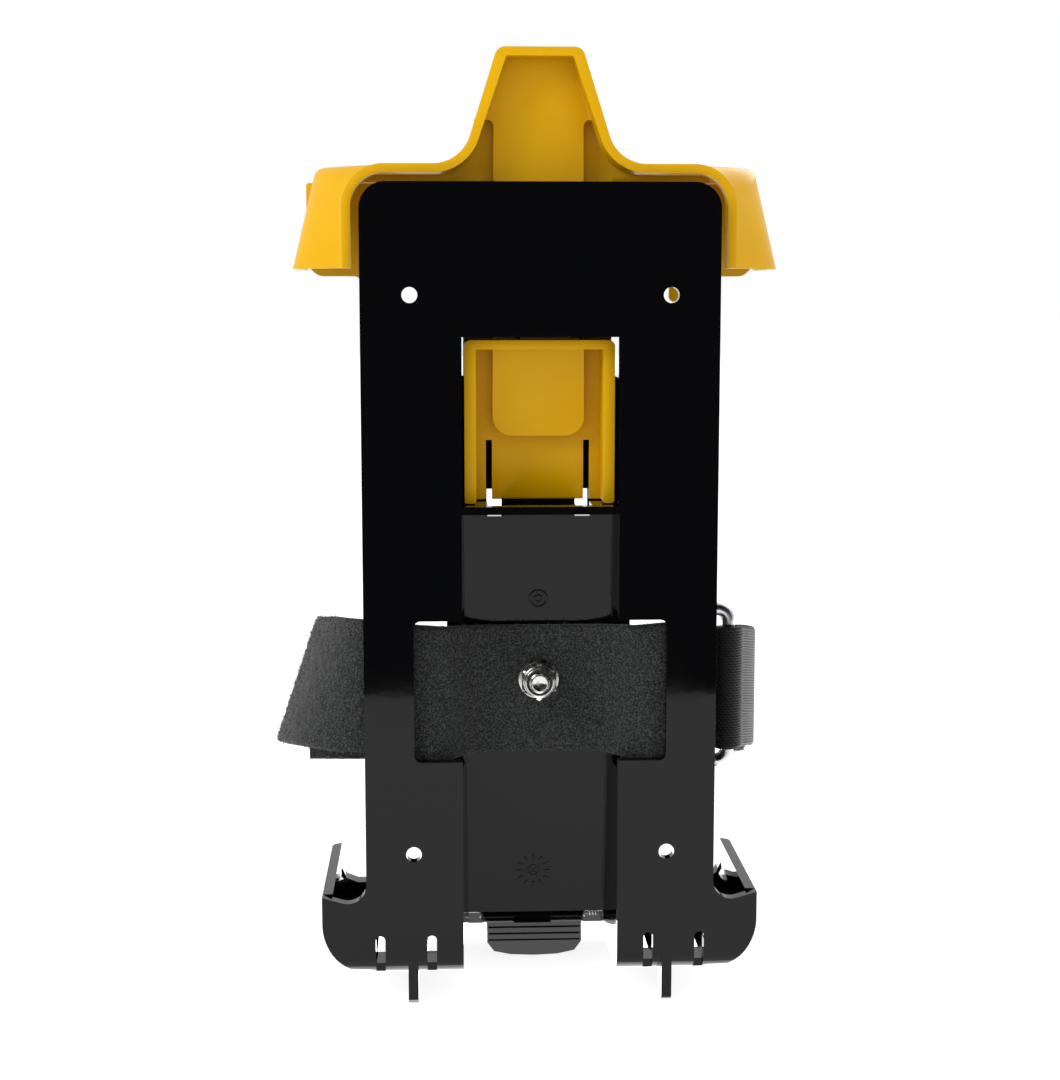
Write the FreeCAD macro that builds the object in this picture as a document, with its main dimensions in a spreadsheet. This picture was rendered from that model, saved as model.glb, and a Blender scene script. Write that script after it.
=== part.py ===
"""Cradle that holds a handheld data collector by its foot, its head and a strap.

Millimetres. The origin is the middle of the four mounting holes in the back face. The back face lies in
the plane Y = 0 and faces -Y, the collector stands in front of it towards +Y, and +Z points to its head.
"""
import FreeCAD, Part
import Sketcher
import math
import os
import re

DIMENSIONS = (
    # the back plate and its mounting holes
    ("plate_half", 51.0, "half width of the back plate"),
    ("plate_top", 112.5, "top edge of the back plate"),
    ("plate_thick", 3.5, "thickness of the back plate"),
    ("plate_corner", 7.5, "radius of the top corners"),
    ("plate_low", 112.0, "lower end of the plate behind the cups, below the origin"),
    ("waist_radius", 5.5, "radius where the plate widens into the cups"),
    ("hole_half_x", 37.0, "mounting holes, half spacing across"),
    ("hole_half_z", 81.0, "mounting holes, half spacing up"),
    ("hole_radius", 2.25, "mounting holes, radius"),
    # the window over the slider
    ("window_half", 22.4, "half width of the window"),
    ("window_low", 21.0, "lower edge of the window"),
    ("window_high", 69.2, "upper edge of the window"),
    ("notch_outer", 24.5, "outer side of the sight notches beside the window"),
    ("notch_low", 57.5, "lower edge of the sight notches"),
    ("notch_lap", 0.6, "how far the sight notches reach in front of the window"),
    # rails and the channel between them
    ("rail_inner", 22.6, "inner face of the slider rails"),
    ("rail_outer", 27.0, "outer face of the slider rails"),
    ("rail_depth", 22.0, "front of the slider rails"),
    ("rail_top", 112.0, "upper end of the rails"),
    ("channel_top", 18.7, "top of the channel below the window"),
    ("channel_end", 107.5, "bottom of the channel floor, below the origin"),
    ("channel_foot_half", 20.8, "half width of the channel at its floor"),
    ("floor_high_depth", 12.0, "depth of the channel floor at its top"),
    ("floor_low_depth", 26.0, "depth of the channel floor at its bottom"),
    ("floor_thick", 2.5, "thickness of the channel floor"),
    ("wall_front", 28.8, "front of the channel walls at their foot"),
    ("wall_knee", 45.0, "where the channel walls start to deepen, below the origin"),
    ("tongue_half", 10.75, "half width of the catch tongue"),
    ("tongue_depth", 13.0, "back of the catch tongue"),
    ("tongue_top", 22.0, "top of the catch tongue"),
    ("tongue_thick", 3.0, "thickness of the catch tongue"),
    ("tongue_root", 5.0, "how far the catch tongue reaches down into the cross wall"),
    # the cut-out for the strap, and its bolt
    ("cut_half", 36.6, "half width of the strap cut-out"),
    ("cut_high", 12.0, "upper edge of the strap cut-out, below the origin"),
    ("cut_low", 53.6, "lower edge of the strap cut-out, below the origin"),
    ("cut_corner", 2.0, "corner radius of the strap cut-out"),
    ("relief_depth", 12.5, "how deep the rails are notched for the strap"),
    ("relief_high", 10.0, "upper end of the notches in the rails, below the origin"),
    ("relief_low", 56.6, "lower end of the notches in the rails, below the origin"),
    ("bolt_drop", 31.5, "strap bolt, below the origin"),
    ("bolt_radius", 3.0, "strap bolt, radius"),
    ("bolt_play", 0.2, "play round the strap bolt"),
    ("boss_radius", 8.5, "boss round the strap bolt"),
    ("boss_back", 15.2, "back face of the boss"),
    ("boss_front", 20.6, "front face of the boss"),
    # the two cups for the foot of the collector
    ("cup_half", 64.0, "outer side of the cups"),
    ("cup_wall", 3.0, "wall of the cups"),
    ("cup_drop", 118.0, "bottom of the cups at the back, below the origin"),
    ("cup_front_drop", 121.7, "bottom of the cups at the front"),
    ("cup_front_depth", 61.0, "front of the cups at the bottom"),
    ("horn_depth", 55.0, "front of the cups at the rim"),
    ("rim_outer", 93.7, "rim of the cups at the outer sides"),
    ("rim_inner", 97.5, "rim of the cups beside the plate"),
    ("block_top", 100.0, "top of the cup wall behind the plate"),
    ("cup_corner", 16.0, "outer bottom corner of the cups"),
    ("cup_bevel", 3.8, "bevel of the room inside the outer bottom corner"),
    ("heel_drop", 118.4, "bottom of the cups where the round back edge runs out"),
    ("edge_radius", 7.0, "round of the bottom back edge of the cups"),
    ("cup_front_top", 100.0, "top of the front wall near the middle"),
    ("scoop_low", 105.8, "bottom of the scoop in the front wall"),
    ("scoop_round", 5.0, "bevelled outer corner of the scoop"),
    ("scoop_inner", 46.0, "inner end of the scoop"),
    ("scoop_slant", 4.0, "how far the inner end of the scoop leans"),
    ("bar_top", 110.0, "top of the bar that joins the cups"),
    ("bar_thick", 5.0, "thickness of the bar that joins the cups"),
    ("prong_x", 37.4, "middle of the foot prongs"),
    ("prong_half", 1.5, "half thickness of the foot prongs"),
    ("prong_tip", 126.4, "tip of the foot prongs"),
    ("prong_top", 108.0, "where the foot prongs leave the back wall"),
    ("prong_bevel", 1.2, "bevel at the tip of the foot prongs"),
    ("prong_depth", 12.0, "how far the foot prongs run under the cups"),
    ("slot_half", 1.4, "half width of the drain slots"),
    ("slot_inner_x", 31.9, "middle of the inner drain slots"),
    ("slot_outer_x", 47.0, "middle of the outer drain slots"),
    ("slot_top", 105.6, "top of the drain slots in the back wall"),
    ("slot_near", 13.0, "near end of the drain slots in the floor"),
    ("slot_far", 48.0, "far end of the drain slots in the floor"),
    # the spring stop and the front cover
    ("stop_low", 108.0, "under side of the spring stop"),
    ("stop_thick", 3.0, "thickness of the spring stop"),
    ("stop_half", 17.5, "half width of the spring stop"),
    ("stop_depth", 13.5, "front of the spring stop"),
    ("cover_low", 18.7, "lower edge of the front cover"),
    ("gap_inner", 10.3, "inner side of the gaps beside the catch"),
    ("gap_outer", 15.0, "outer side of the gaps beside the catch"),
    ("gap_low", 16.9, "lower end of the gaps in the cross wall"),
    ("gap_high", 24.0, "upper end of the gaps in the front cover"),
    ("cover_front", 24.5, "front face of the front cover"),
    ("cover_corner", 3.0, "corner radius of the front cover"),
    ("screw_x", 24.8, "cover screws, half spacing"),
    ("screw_low", 44.0, "height of the lower cover screws"),
    ("screw_high", 100.0, "height of the upper cover screws"),
    ("screw_radius", 1.2, "cover screws, shank"),
    ("screw_head_radius", 2.75, "cover screws, head"),
    ("screw_head", 1.6, "cover screws, height of the head"),
    ("screw_deep", 13.0, "inner end of the cover screws"),
    ("screw_play", 0.4, "play of the screws in the front cover"),
    # the sliding head
    ("slider_half", 21.65, "outer side of the slider legs"),
    ("slider_inner", 18.4, "inner side of the slider legs"),
    ("slider_back", 6.5, "back of the slider legs"),
    ("web_back", 18.6, "back of the slider web"),
    ("web_front", 21.1, "front of the slider web"),
    ("slider_low", 21.3, "lower end of the slider"),
    ("seat_low", 65.6, "under side of the spring seat"),
    ("seat_high", 68.2, "top of the spring seat"),
    ("seat_corner", 1.8, "round top corners of the U section"),
    ("panel_half", 13.4, "half width of the raised panel"),
    ("panel_back", 14.5, "back of the raised panel"),
    ("panel_low", 40.3, "lower edge of the raised panel"),
    ("panel_corner", 5.5, "lower corners of the raised panel"),
    ("panel_narrow", 138.0, "where the raised panel starts to narrow"),
    ("panel_top", 148.5, "top of the raised panel"),
    ("panel_tip", 10.95, "half width of the raised panel at its top"),
    ("groove_half", 10.5, "half width of the groove in the front of the panel"),
    ("groove_tip", 7.5, "half width of the groove at its top"),
    ("groove_high", 142.0, "top of the groove"),
    ("groove_low", 46.3, "lower end of the groove"),
    ("finger_x", 14.35, "slits beside the catch finger"),
    ("finger_slit", 0.65, "half width of the slits"),
    ("finger_top", 38.75, "upper end of the slits"),
    ("head_back", 6.0, "back edge of the head"),
    ("head_wall", 2.5, "wall of the head"),
    ("head_low", 88.6, "lower rim of the head"),
    ("head_top", 117.8, "top of the head's shoulders"),
    ("neck_half", 56.1, "half width of the head at its back edge"),
    ("shoulder", 12.0, "corner radius of the head at its back edge"),
    ("crown", 5.0, "corner radius of the lobes at the top"),
    ("neck_depth", 12.0, "where the sides start to flare"),
    ("flare_depth", 28.0, "where the sides stop flaring"),
    ("lobe_low_half", 71.8, "half width of the lobes at the rim"),
    ("lobe_high_half", 64.6, "half width of the lobes near the top"),
    ("lobe_draw", 0.8, "how much the lobes draw in towards the front"),
    ("lip_front", 58.0, "front of the head"),
    ("lip_corner", 6.0, "front corners of the head"),
    ("lip_top", 115.2, "top corners of the front lip"),
    ("front_half", 69.4, "half width of the front lip"),
    ("ear_low", 79.0, "lowest point of the ears on the front lip"),
    ("ear_foot_half", 48.5, "outer end of the ears at their lowest point"),
    ("ear_bend", 54.0, "where the ears rise to their outer part"),
    ("ear_outer", 62.8, "outer end of the ears at the rim"),
    ("ear_shoulder", 86.8, "height of the ears' outer part"),
    ("ear_root", 91.6, "top of the ears, inside the lip"),
    ("arch_half", 43.0, "half width of the arch between the ears"),
    ("arch_top", 104.0, "top of the arch"),
    ("arch_corner", 8.0, "bevelled corners of the arch"),
    ("horn_foot", 22.2, "half width of the thumb tongue at its foot"),
    ("horn_tip", 11.95, "half width of the thumb tongue at its tip"),
    ("horn_top", 150.0, "tip of the thumb tongue"),
    ("tip_radius", 3.0, "corner radius at the tip of the thumb tongue"),
    ("horn_blend", 10.0, "hollow radius at the foot of the thumb tongue"),
    # springs
    ("spring_x", 9.0, "head springs, half spacing"),
    ("spring_depth", 8.8, "depth of the axes of the head springs"),
    ("spring_radius", 3.0, "coil radius of the head springs"),
    ("spring_wire", 0.45, "wire radius of the head springs"),
    ("spring_turns", 8.0, "turns of the head springs"),
    ("spring_gap", 0.1, "gap at each end of the head springs"),
    ("guide_radius", 1.5, "guide pins inside the springs"),
    ("guide_low", 92.0, "lower end of the guide pins"),
    # the release lever
    ("lever_y", 52.5, "depth of the lever's pin"),
    ("lever_drop", 115.5, "lever's pin, below the origin"),
    ("lever_pin_radius", 1.25, "radius of the lever's pin"),
    ("lever_play", 0.08, "play between the lever and its pin"),
    ("pin_short", 0.2, "how far the lever's pin stops short of its holes' ends"),
    ("lever_half", 17.0, "half width of the lever"),
    ("lip_half", 14.9, "half width of the lever's lip"),
    ("ridge_long", 14.4, "half length of the ridges of the lip"),
    ("lever_barrel", 2.9, "radius of the lever's barrel"),
    ("lip_back", 38.8, "back of the lever's lip"),
    ("lip_drop", 126.2, "lowest point of the lever's lip"),
    ("shelf_thick", 2.2, "thickness of the lever's shelf"),
    ("ridge_pitch", 2.1, "distance between the ridges of the lip"),
    ("ridge_high", 0.6, "height of the ridges of the lip"),
    ("ridge_half", 0.7, "half width of the ridges of the lip"),
    ("nose_half", 6.0, "half width of the lever's hook nose"),
    ("nose_high", 6.5, "height of the lever's hook nose"),
    ("coil_radius", 2.1, "coil radius of the lever's spring"),
    ("coil_wire", 0.35, "wire radius of the lever's spring"),
    ("coil_turns", 3.0, "turns of the lever's spring"),
    ("coil_pitch", 1.0, "pitch of the lever's spring"),
    # pads
    ("pad_thick", 2.0, "thickness of the rubber and foam pads"),
    ("rest_half", 18.0, "half width of the foam pad on the front cover"),
    ("rest_low", 32.0, "lower edge of the foam pad"),
    ("rest_high", 88.0, "upper edge of the foam pad"),
    ("liner_half", 44.0, "half width of the foam in the head"),
    ("liner_near", 30.0, "back edge of the foam in the head"),
    ("liner_far", 53.0, "front edge of the foam in the head"),
    # the strap and its ring
    ("strap_thick", 2.2, "thickness of the hook-and-loop strap"),
    ("tail_thick", 1.8, "thickness of the folded-back tail"),
    ("strap_top", 15.3, "upper edge of the strap at the plate, below the origin"),
    ("strap_wide", 38.0, "width of the strap"),
    ("strap_sag", 0.15, "how far the strap drops per millimetre of depth"),
    ("strap_start", 5.0, "depth at which the strap starts to drop"),
    ("strap_gap", 0.4, "gap between the strap and the back plate"),
    ("strap_slip", 0.1, "gap between the strap and the boss"),
    ("band_wrap", 4.55, "outer face of the band from the middle of the ring's bar"),
    ("tail_wrap", 4.45, "outer face of the tail from the middle of the ring's bar"),
    ("ring_inner_x", 45.0, "middle of the ring's inner bar"),
    ("ring_outer_x", 57.0, "middle of the ring's outer bar"),
    ("ring_depth", 17.0, "depth of the ring"),
    ("ring_high", 11.7, "middle of the ring's upper bar, below the origin"),
    ("ring_low", 58.0, "middle of the ring's lower bar, below the origin"),
    ("ring_wire", 2.0, "radius of the ring's wire"),
    ("ring_corner", 3.5, "corner radius of the ring"),
    ("washer_thick", 1.2, "washer under the nut"),
    ("washer_radius", 6.0, "radius of the washer"),
    ("nut_flats", 10.0, "across the flats of the nut"),
    ("nut_high", 4.6, "height of the nut's hexagon"),
    ("collar_high", 1.4, "height of the nylon collar"),
    ("rim_radius", 4.45, "outer radius of the rim that holds the collar"),
    ("collar_radius", 3.85, "radius of the nylon collar"),
    ("head_radius", 6.0, "radius of the bolt's head"),
    ("head_high", 3.2, "height of the bolt's head"),
    ("head_round", 2.4, "round of the bolt's head"),
    ("nut_slip", 0.03, "clearance round the nut's parts"),
    ("bolt_end", 4.6, "free end of the bolt"),
    # the hook patch under the tail
    ("patch_near", 67.1, "back face of the hook patch"),
    ("patch_far", 68.3, "front face of the hook patch"),
    ("patch_left", -52.0, "left end of the hook patch"),
    ("patch_right", -16.0, "right end of the hook patch"),
    # shared
    ("past", 1.0, "how far a cut runs past the solid, or a pad into its neighbour"),
    ("slip", 0.05, "clearance round a pin or under a pad"),
    ("clear_high", 80.0, "a level above the cups, where cuts into them start"),
    ("clear_low", 130.0, "a level under the whole body, where cuts run out"),
)
SIDES = (("left", "-1"), ("right", "1"))
MID_ARC = "0.293"  # how far the middle of a quarter round lies inside its corner, per unit of radius
WORD = re.compile(r"[a-z][a-z_]+")
NORMAL_SIGN = {"XY_Plane": 1, "XZ_Plane": -1, "YZ_Plane": 1}

doc = FreeCAD.newDocument("cradle")
dims = doc.addObject("Spreadsheet::Sheet", "Dims")
for row, (alias, number, note) in enumerate(DIMENSIONS, start=1):
    dims.set(f"A{row}", alias)
    dims.set(f"B{row}", str(number))
    dims.set(f"C{row}", note)
    dims.setAlias(f"B{row}", alias)
doc.recompute()


def size(text):
    """The number that an expression in the sheet's words stands for."""
    return float(dims.evalExpression(text))


def bound(text):
    """The same expression as other objects have to write it."""
    return WORD.sub(lambda word: "Dims." + word.group(0), text)


def new_body(label):
    body = doc.addObject("PartDesign::Body", label)
    body.Label = label
    return body


def new_sketch(body, name, plane, level):
    """An empty sketch on one of the body's own origin planes, moved to a level along the normal."""
    sketch = body.newObject("Sketcher::SketchObject", name)
    support = next(item for item in body.Origin.OriginFeatures if item.Role == plane)
    sketch.AttachmentSupport = [(support, "")]
    sketch.MapMode = "FlatFace"
    sign = "" if NORMAL_SIGN[plane] > 0 else "-"
    sketch.setExpression(".AttachmentOffset.Base.z", bound(f"{sign}({level})"))
    return sketch


def pin_point(sketch, index, end, across, up):
    """Bind one end point of a curve to two expressions."""
    for kind, text, axis in (("DistanceX", across, -2), ("DistanceY", up, -1)):
        number = size(text)
        if abs(number) < 1e-9:
            sketch.addConstraint(Sketcher.Constraint("PointOnObject", index, end, axis))
            continue
        place = sketch.addConstraint(Sketcher.Constraint(kind, -1, 1, index, end, number))
        sketch.setExpression(f"Constraints[{place}]", bound(text))


def draw_outline(sketch, points):
    """A closed outline of straight sides whose corners are all bound to the sheet."""
    corners = [FreeCAD.Vector(size(across), size(up), 0) for across, up in points]
    count = len(corners)
    for index in range(count):
        sketch.addGeometry(Part.LineSegment(corners[index], corners[(index + 1) % count]))
    for index in range(count):
        sketch.addConstraint(Sketcher.Constraint("Coincident", index, 2, (index + 1) % count, 1))
    for index, (across, up) in enumerate(points):
        pin_point(sketch, index, 1, across, up)


def draw_circles(sketch, centres, radius):
    """Circles of one bound radius round bound centres."""
    for index, (across, up) in enumerate(centres):
        middle = FreeCAD.Vector(size(across), size(up), 0)
        sketch.addGeometry(Part.Circle(middle, FreeCAD.Vector(0, 0, 1), size(radius)))
        pin_point(sketch, index, 3, across, up)
        place = sketch.addConstraint(Sketcher.Constraint("Radius", index, size(radius)))
        sketch.setExpression(f"Constraints[{place}]", bound(radius))


def extrude(body, kind, name, plane, low, high):
    """An empty sketch and a pad or pocket that runs from low to high along the plane's axis."""
    starts_high = (kind == "Pocket") == (NORMAL_SIGN[plane] > 0)
    sketch = new_sketch(body, f"{name}_sketch", plane, high if starts_high else low)
    feature = body.newObject(f"PartDesign::{kind}", name)
    feature.Profile = sketch
    feature.setExpression("Length", bound(f"({high}) - ({low})"))
    return sketch


def pad(body, name, plane, low, high, points):
    draw_outline(extrude(body, "Pad", name, plane, low, high), points)


def pocket(body, name, plane, low, high, points):
    draw_outline(extrude(body, "Pocket", name, plane, low, high), points)


def drill(body, name, plane, low, high, centres, radius):
    draw_circles(extrude(body, "Pocket", name, plane, low, high), centres, radius)


def box_points(low_x, high_x, low_y, high_y):
    """The four corners of a rectangle."""
    return [(low_x, low_y), (high_x, low_y), (high_x, high_y), (low_x, high_y)]


def mirrored(points):
    """An outline symmetric about the vertical axis, from its right half, top to bottom."""
    return points + [(f"-({across})", up) for across, up in reversed(points)]


def round_edges(body, name, radius, places):
    """Round the edges of the body whose middles lie at the given places."""
    doc.recompute()
    base = body.Tip
    targets = [FreeCAD.Vector(*[size(text) for text in place]) for place in places]
    chosen = []
    for number, edge in enumerate(base.Shape.Edges, start=1):
        middle = edge.CenterOfMass
        if any(middle.distanceToPoint(target) < 0.8 for target in targets):
            chosen.append(f"Edge{number}")
    if len(chosen) < len(targets):
        raise RuntimeError(f"{name}: found {len(chosen)} of {len(targets)} edges")
    fillet = body.newObject("PartDesign::Fillet", name)
    fillet.Base = (base, chosen)
    fillet.setExpression("Radius", bound(radius))


def cylinder(label, radius, length, centre, turn=None):
    """A cylinder that starts at a bound centre; without a turn its axis is Z."""
    item = doc.addObject("Part::Cylinder", label)
    item.Label = label
    item.setExpression("Radius", bound(radius))
    item.setExpression("Height", bound(length))
    item.Placement = FreeCAD.Placement(FreeCAD.Vector(), turn or FreeCAD.Rotation())
    for axis, text in zip("xyz", centre):
        item.setExpression(f".Placement.Base.{axis}", bound(text))
    return item


def fuse(label, items):
    item = doc.addObject("Part::MultiFuse", label)
    item.Label = label
    item.Shapes = items
    return item


def cut(label, base, tool):
    item = doc.addObject("Part::Cut", label)
    item.Label = label
    item.Base = base
    item.Tool = tool
    return item


TOWARDS_BACK = FreeCAD.Rotation(FreeCAD.Vector(1, 0, 0), 90)
TOWARDS_FRONT = FreeCAD.Rotation(FreeCAD.Vector(1, 0, 0), -90)
TOWARDS_RIGHT = FreeCAD.Rotation(FreeCAD.Vector(0, 1, 0), 90)


def make_cradle_body():
    """The black moulding: back plate, slider rails, strap channel and the two cups."""
    body = new_body("cradle_body")
    plate = [("plate_half", "plate_top"), ("plate_half", "-rim_inner"), ("cup_half", "-rim_outer"),
             ("cup_half", "-plate_low"), ("rail_inner", "-plate_low"), ("rail_inner", "channel_top")]
    pad(body, "back_plate", "XZ_Plane", "0", "plate_thick", mirrored(plate))
    round_edges(body, "plate_corners", "plate_corner",
                [(f"{sign} * plate_half", "plate_thick / 2", "plate_top") for _, sign in SIDES])
    round_edges(body, "plate_waist", "waist_radius",
                [(f"{sign} * plate_half", "plate_thick / 2", "-rim_inner") for _, sign in SIDES])
    pad(body, "cup_block", "YZ_Plane", "-cup_half", "cup_half",
        [("0", "-cup_drop"), ("0", "-block_top"), ("plate_thick", "-block_top"),
         ("plate_thick", "-rim_outer"), ("horn_depth", "-rim_outer"), ("cup_front_depth", "-cup_front_drop")])
    add_cup_hollows(body)
    round_edges(body, "cup_corners", "cup_corner",
                [(f"{sign} * cup_half", "cup_front_depth / 2", "-(cup_drop + cup_front_drop) / 2")
                 for _, sign in SIDES])
    round_edges(body, "cup_front_edge", "cup_wall", [("0", "cup_front_depth", "-cup_front_drop")])
    round_back_edge(body)
    add_cup_openings(body)
    add_channel(body)
    add_plate_openings(body)
    add_prongs(body)
    return body


def round_back_edge(body):
    """Cut the bottom back edge of the cups to a quarter round."""
    sketch = extrude(body, "Pocket", "back_edge", "YZ_Plane", "-cup_half - past", "cup_half + past")
    radius = size("edge_radius")
    middle = FreeCAD.Vector(radius, radius - size("heel_drop"), 0)
    circle = Part.Circle(middle, FreeCAD.Vector(0, 0, 1), radius)
    sketch.addGeometry(Part.ArcOfCircle(circle, math.pi, 1.5 * math.pi))
    corners = [("edge_radius", "-heel_drop"), ("edge_radius", "-clear_low"), ("-past", "-clear_low"),
               ("-past", "edge_radius - heel_drop"), ("0", "edge_radius - heel_drop")]
    places = [FreeCAD.Vector(size(across), size(up), 0) for across, up in corners]
    for start, end in zip(places, places[1:]):
        sketch.addGeometry(Part.LineSegment(start, end))
    for index, (across, up) in enumerate(corners[:-1], start=1):
        pin_point(sketch, index, 1, across, up)
    pin_point(sketch, len(corners) - 1, 2, *corners[-1])
    for index in range(1, len(corners) - 1):
        sketch.addConstraint(Sketcher.Constraint("Coincident", index, 2, index + 1, 1))
    sketch.addConstraint(Sketcher.Constraint("Coincident", 0, 2, 1, 1))
    sketch.addConstraint(Sketcher.Constraint("Coincident", 0, 1, len(corners) - 1, 2))
    place = sketch.addConstraint(Sketcher.Constraint("Radius", 0, radius))
    sketch.setExpression(f"Constraints[{place}]", "Dims.edge_radius")


def add_cup_hollows(body):
    """The room inside the two cups: a flat floor, cut-off outer corners and a sloping front."""
    for side, sign in SIDES:
        room = [("rail_inner + cup_wall", "-clear_high"), ("rail_inner + cup_wall", "cup_wall - cup_drop"),
                ("cup_half - cup_corner", "cup_wall - cup_drop"),
                ("cup_half - cup_wall - cup_bevel", "cup_wall - cup_drop + cup_bevel"),
                ("cup_half - cup_wall", "cup_corner - cup_drop"), ("cup_half - cup_wall", "-clear_high")]
        pocket(body, f"cup_hollow_{side}", "XZ_Plane", "plate_thick", "horn_depth - cup_wall",
               [(f"{sign} * ({across})", up) for across, up in room])
        reach = ("-cup_half + cup_corner", "-rail_inner - cup_wall")
        if side == "right":
            reach = ("rail_inner + cup_wall", "cup_half - cup_corner")
        pocket(body, f"front_slope_{side}", "YZ_Plane", *reach,
               [("horn_depth - cup_wall - past", "-clear_high"), ("horn_depth - cup_wall", "-rim_outer"),
                ("cup_front_depth - cup_wall - past", "cup_wall - cup_drop"),
                ("horn_depth - cup_wall - past", "cup_wall - cup_drop")])


def add_cup_openings(body):
    """Part the cups in the middle, shape the front wall, and cut the drain slots and the pin's hole."""
    pocket(body, "cup_gap", "XZ_Plane", "-past", "cup_front_depth - bar_thick",
           box_points("-rail_inner", "rail_inner", "-clear_low", "-clear_high"))
    pocket(body, "gap_above_bar", "XZ_Plane", "-past", "cup_front_depth + past",
           box_points("-rail_inner", "rail_inner", "-bar_top", "-clear_high"))
    for side, sign in SIDES:
        scoop = [("rail_inner", "-clear_high"), ("rail_inner", "-cup_front_top"),
                 ("scoop_inner - scoop_slant", "-cup_front_top"), ("scoop_inner", "-scoop_low"),
                 ("cup_half - cup_wall - scoop_round", "-scoop_low"),
                 (f"cup_half - cup_wall - {MID_ARC} * scoop_round", f"{MID_ARC} * scoop_round - scoop_low"),
                 ("cup_half - cup_wall", "scoop_round - scoop_low"), ("cup_half - cup_wall", "-clear_high")]
        pocket(body, f"front_wall_{side}", "XZ_Plane", "plate_thick", "cup_front_depth + past",
               [(f"{sign} * ({across})", up) for across, up in scoop])
    slots = [f"{sign} * {middle}" for _, sign in SIDES for middle in ("slot_inner_x", "slot_outer_x")]
    for number, middle in enumerate(slots):
        low, high = f"{middle} - slot_half", f"{middle} + slot_half"
        pocket(body, f"back_slot_{number}", "XZ_Plane", "-past", "plate_thick + slip",
               box_points(low, high, "-clear_low", "-slot_top - slot_half"))
        pocket(body, f"floor_slot_{number}", "XY_Plane", "-clear_low", "-lever_drop + past",
               box_points(low, high, "slot_near", "slot_far"))
    drill(body, "slot_tops", "XZ_Plane", "-past", "plate_thick + slip",
          [(middle, "-slot_top - slot_half") for middle in slots], "slot_half")
    drill(body, "lever_pin_hole", "YZ_Plane", "-rail_inner - cup_wall", "rail_inner + cup_wall",
          [("lever_y", "-lever_drop")], "lever_pin_radius + slip")


def add_channel(body):
    """Rails for the slider, and below them the channel whose floor slants towards the front."""
    for side, sign in SIDES:
        low, high = ("-rail_outer", "-rail_inner") if side == "left" else ("rail_inner", "rail_outer")
        pad(body, f"rail_{side}", "YZ_Plane", low, high,
            box_points("plate_thick - past", "rail_depth", "channel_top", "rail_top"))
        low, high = "channel_foot_half", "rail_outer"
        if side == "left":
            low, high = f"-{high}", f"-{low}"
        pad(body, f"channel_wall_{side}", "YZ_Plane", low, high,
            [("plate_thick - past", "channel_top"), ("rail_depth", "channel_top"),
             ("rail_depth", "-wall_knee"), ("wall_front", "-channel_end"), ("wall_front", "-bar_top"),
             ("plate_thick - past", "-bar_top")])
        draft = [("channel_foot_half - slip", "0"), ("rail_inner", "0"), ("rail_inner", "plate_thick"),
                 ("channel_foot_half", "floor_low_depth"), ("channel_foot_half - slip", "floor_low_depth")]
        pocket(body, f"wall_draft_{side}", "XY_Plane", "-bar_top - past", "channel_top",
               [(f"{sign} * ({across})", up) for across, up in draft])
    pad(body, "channel_floor", "YZ_Plane", "-rail_inner - past", "rail_inner + past",
        [("floor_high_depth", "channel_top"), ("floor_low_depth", "-channel_end"),
         ("floor_low_depth + floor_thick", "-channel_end"),
         ("floor_high_depth + floor_thick", "channel_top")])
    pad(body, "cross_wall", "YZ_Plane", "-rail_inner", "rail_inner",
        box_points("plate_thick - past", "floor_high_depth + floor_thick", "channel_top", "window_low"))
    pad(body, "catch_tongue", "YZ_Plane", "-tongue_half", "tongue_half",
        box_points("tongue_depth", "tongue_depth + tongue_thick", "channel_top - tongue_root", "tongue_top"))
    for side, sign in SIDES:
        pocket(body, f"catch_gap_{side}", "XZ_Plane", "plate_thick", "floor_high_depth + floor_thick + past",
               gap_points(sign, "gap_low", "window_low + past"))
    boss = extrude(body, "Pad", "bolt_boss", "XZ_Plane", "boss_back", "boss_front")
    draw_circles(boss, [("0", "-bolt_drop")], "boss_radius")
    pad(body, "spring_stop", "XZ_Plane", "plate_thick - past", "stop_depth",
        box_points("-stop_half", "stop_half", "stop_low", "stop_low + stop_thick"))
    drill(body, "guide_holes", "XY_Plane", "stop_low - past", "stop_low + stop_thick + past",
          [("-spring_x", "spring_depth"), ("spring_x", "spring_depth")], "guide_radius + slip")
    drill(body, "bolt_hole", "XZ_Plane", "boss_back - past", "boss_front + past", [("0", "-bolt_drop")],
          "bolt_radius + bolt_play")
    drill(body, "screw_pilots", "XZ_Plane", "screw_deep - past", "rail_depth", screw_places(),
          "screw_radius + slip")


def screw_places():
    return [(f"{sign} * screw_x", level) for _, sign in SIDES for level in ("screw_low", "screw_high")]


def gap_points(sign, low, high):
    """Outline of a gap beside the catch."""
    return box_points(f"{sign} * gap_inner", f"{sign} * gap_outer", low, high)


def notch_points(sign):
    """Outline of a sight notch beside the window."""
    return box_points(f"{sign} * (window_half - notch_lap)", f"{sign} * notch_outer",
                      "notch_low", "window_high")


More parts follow.
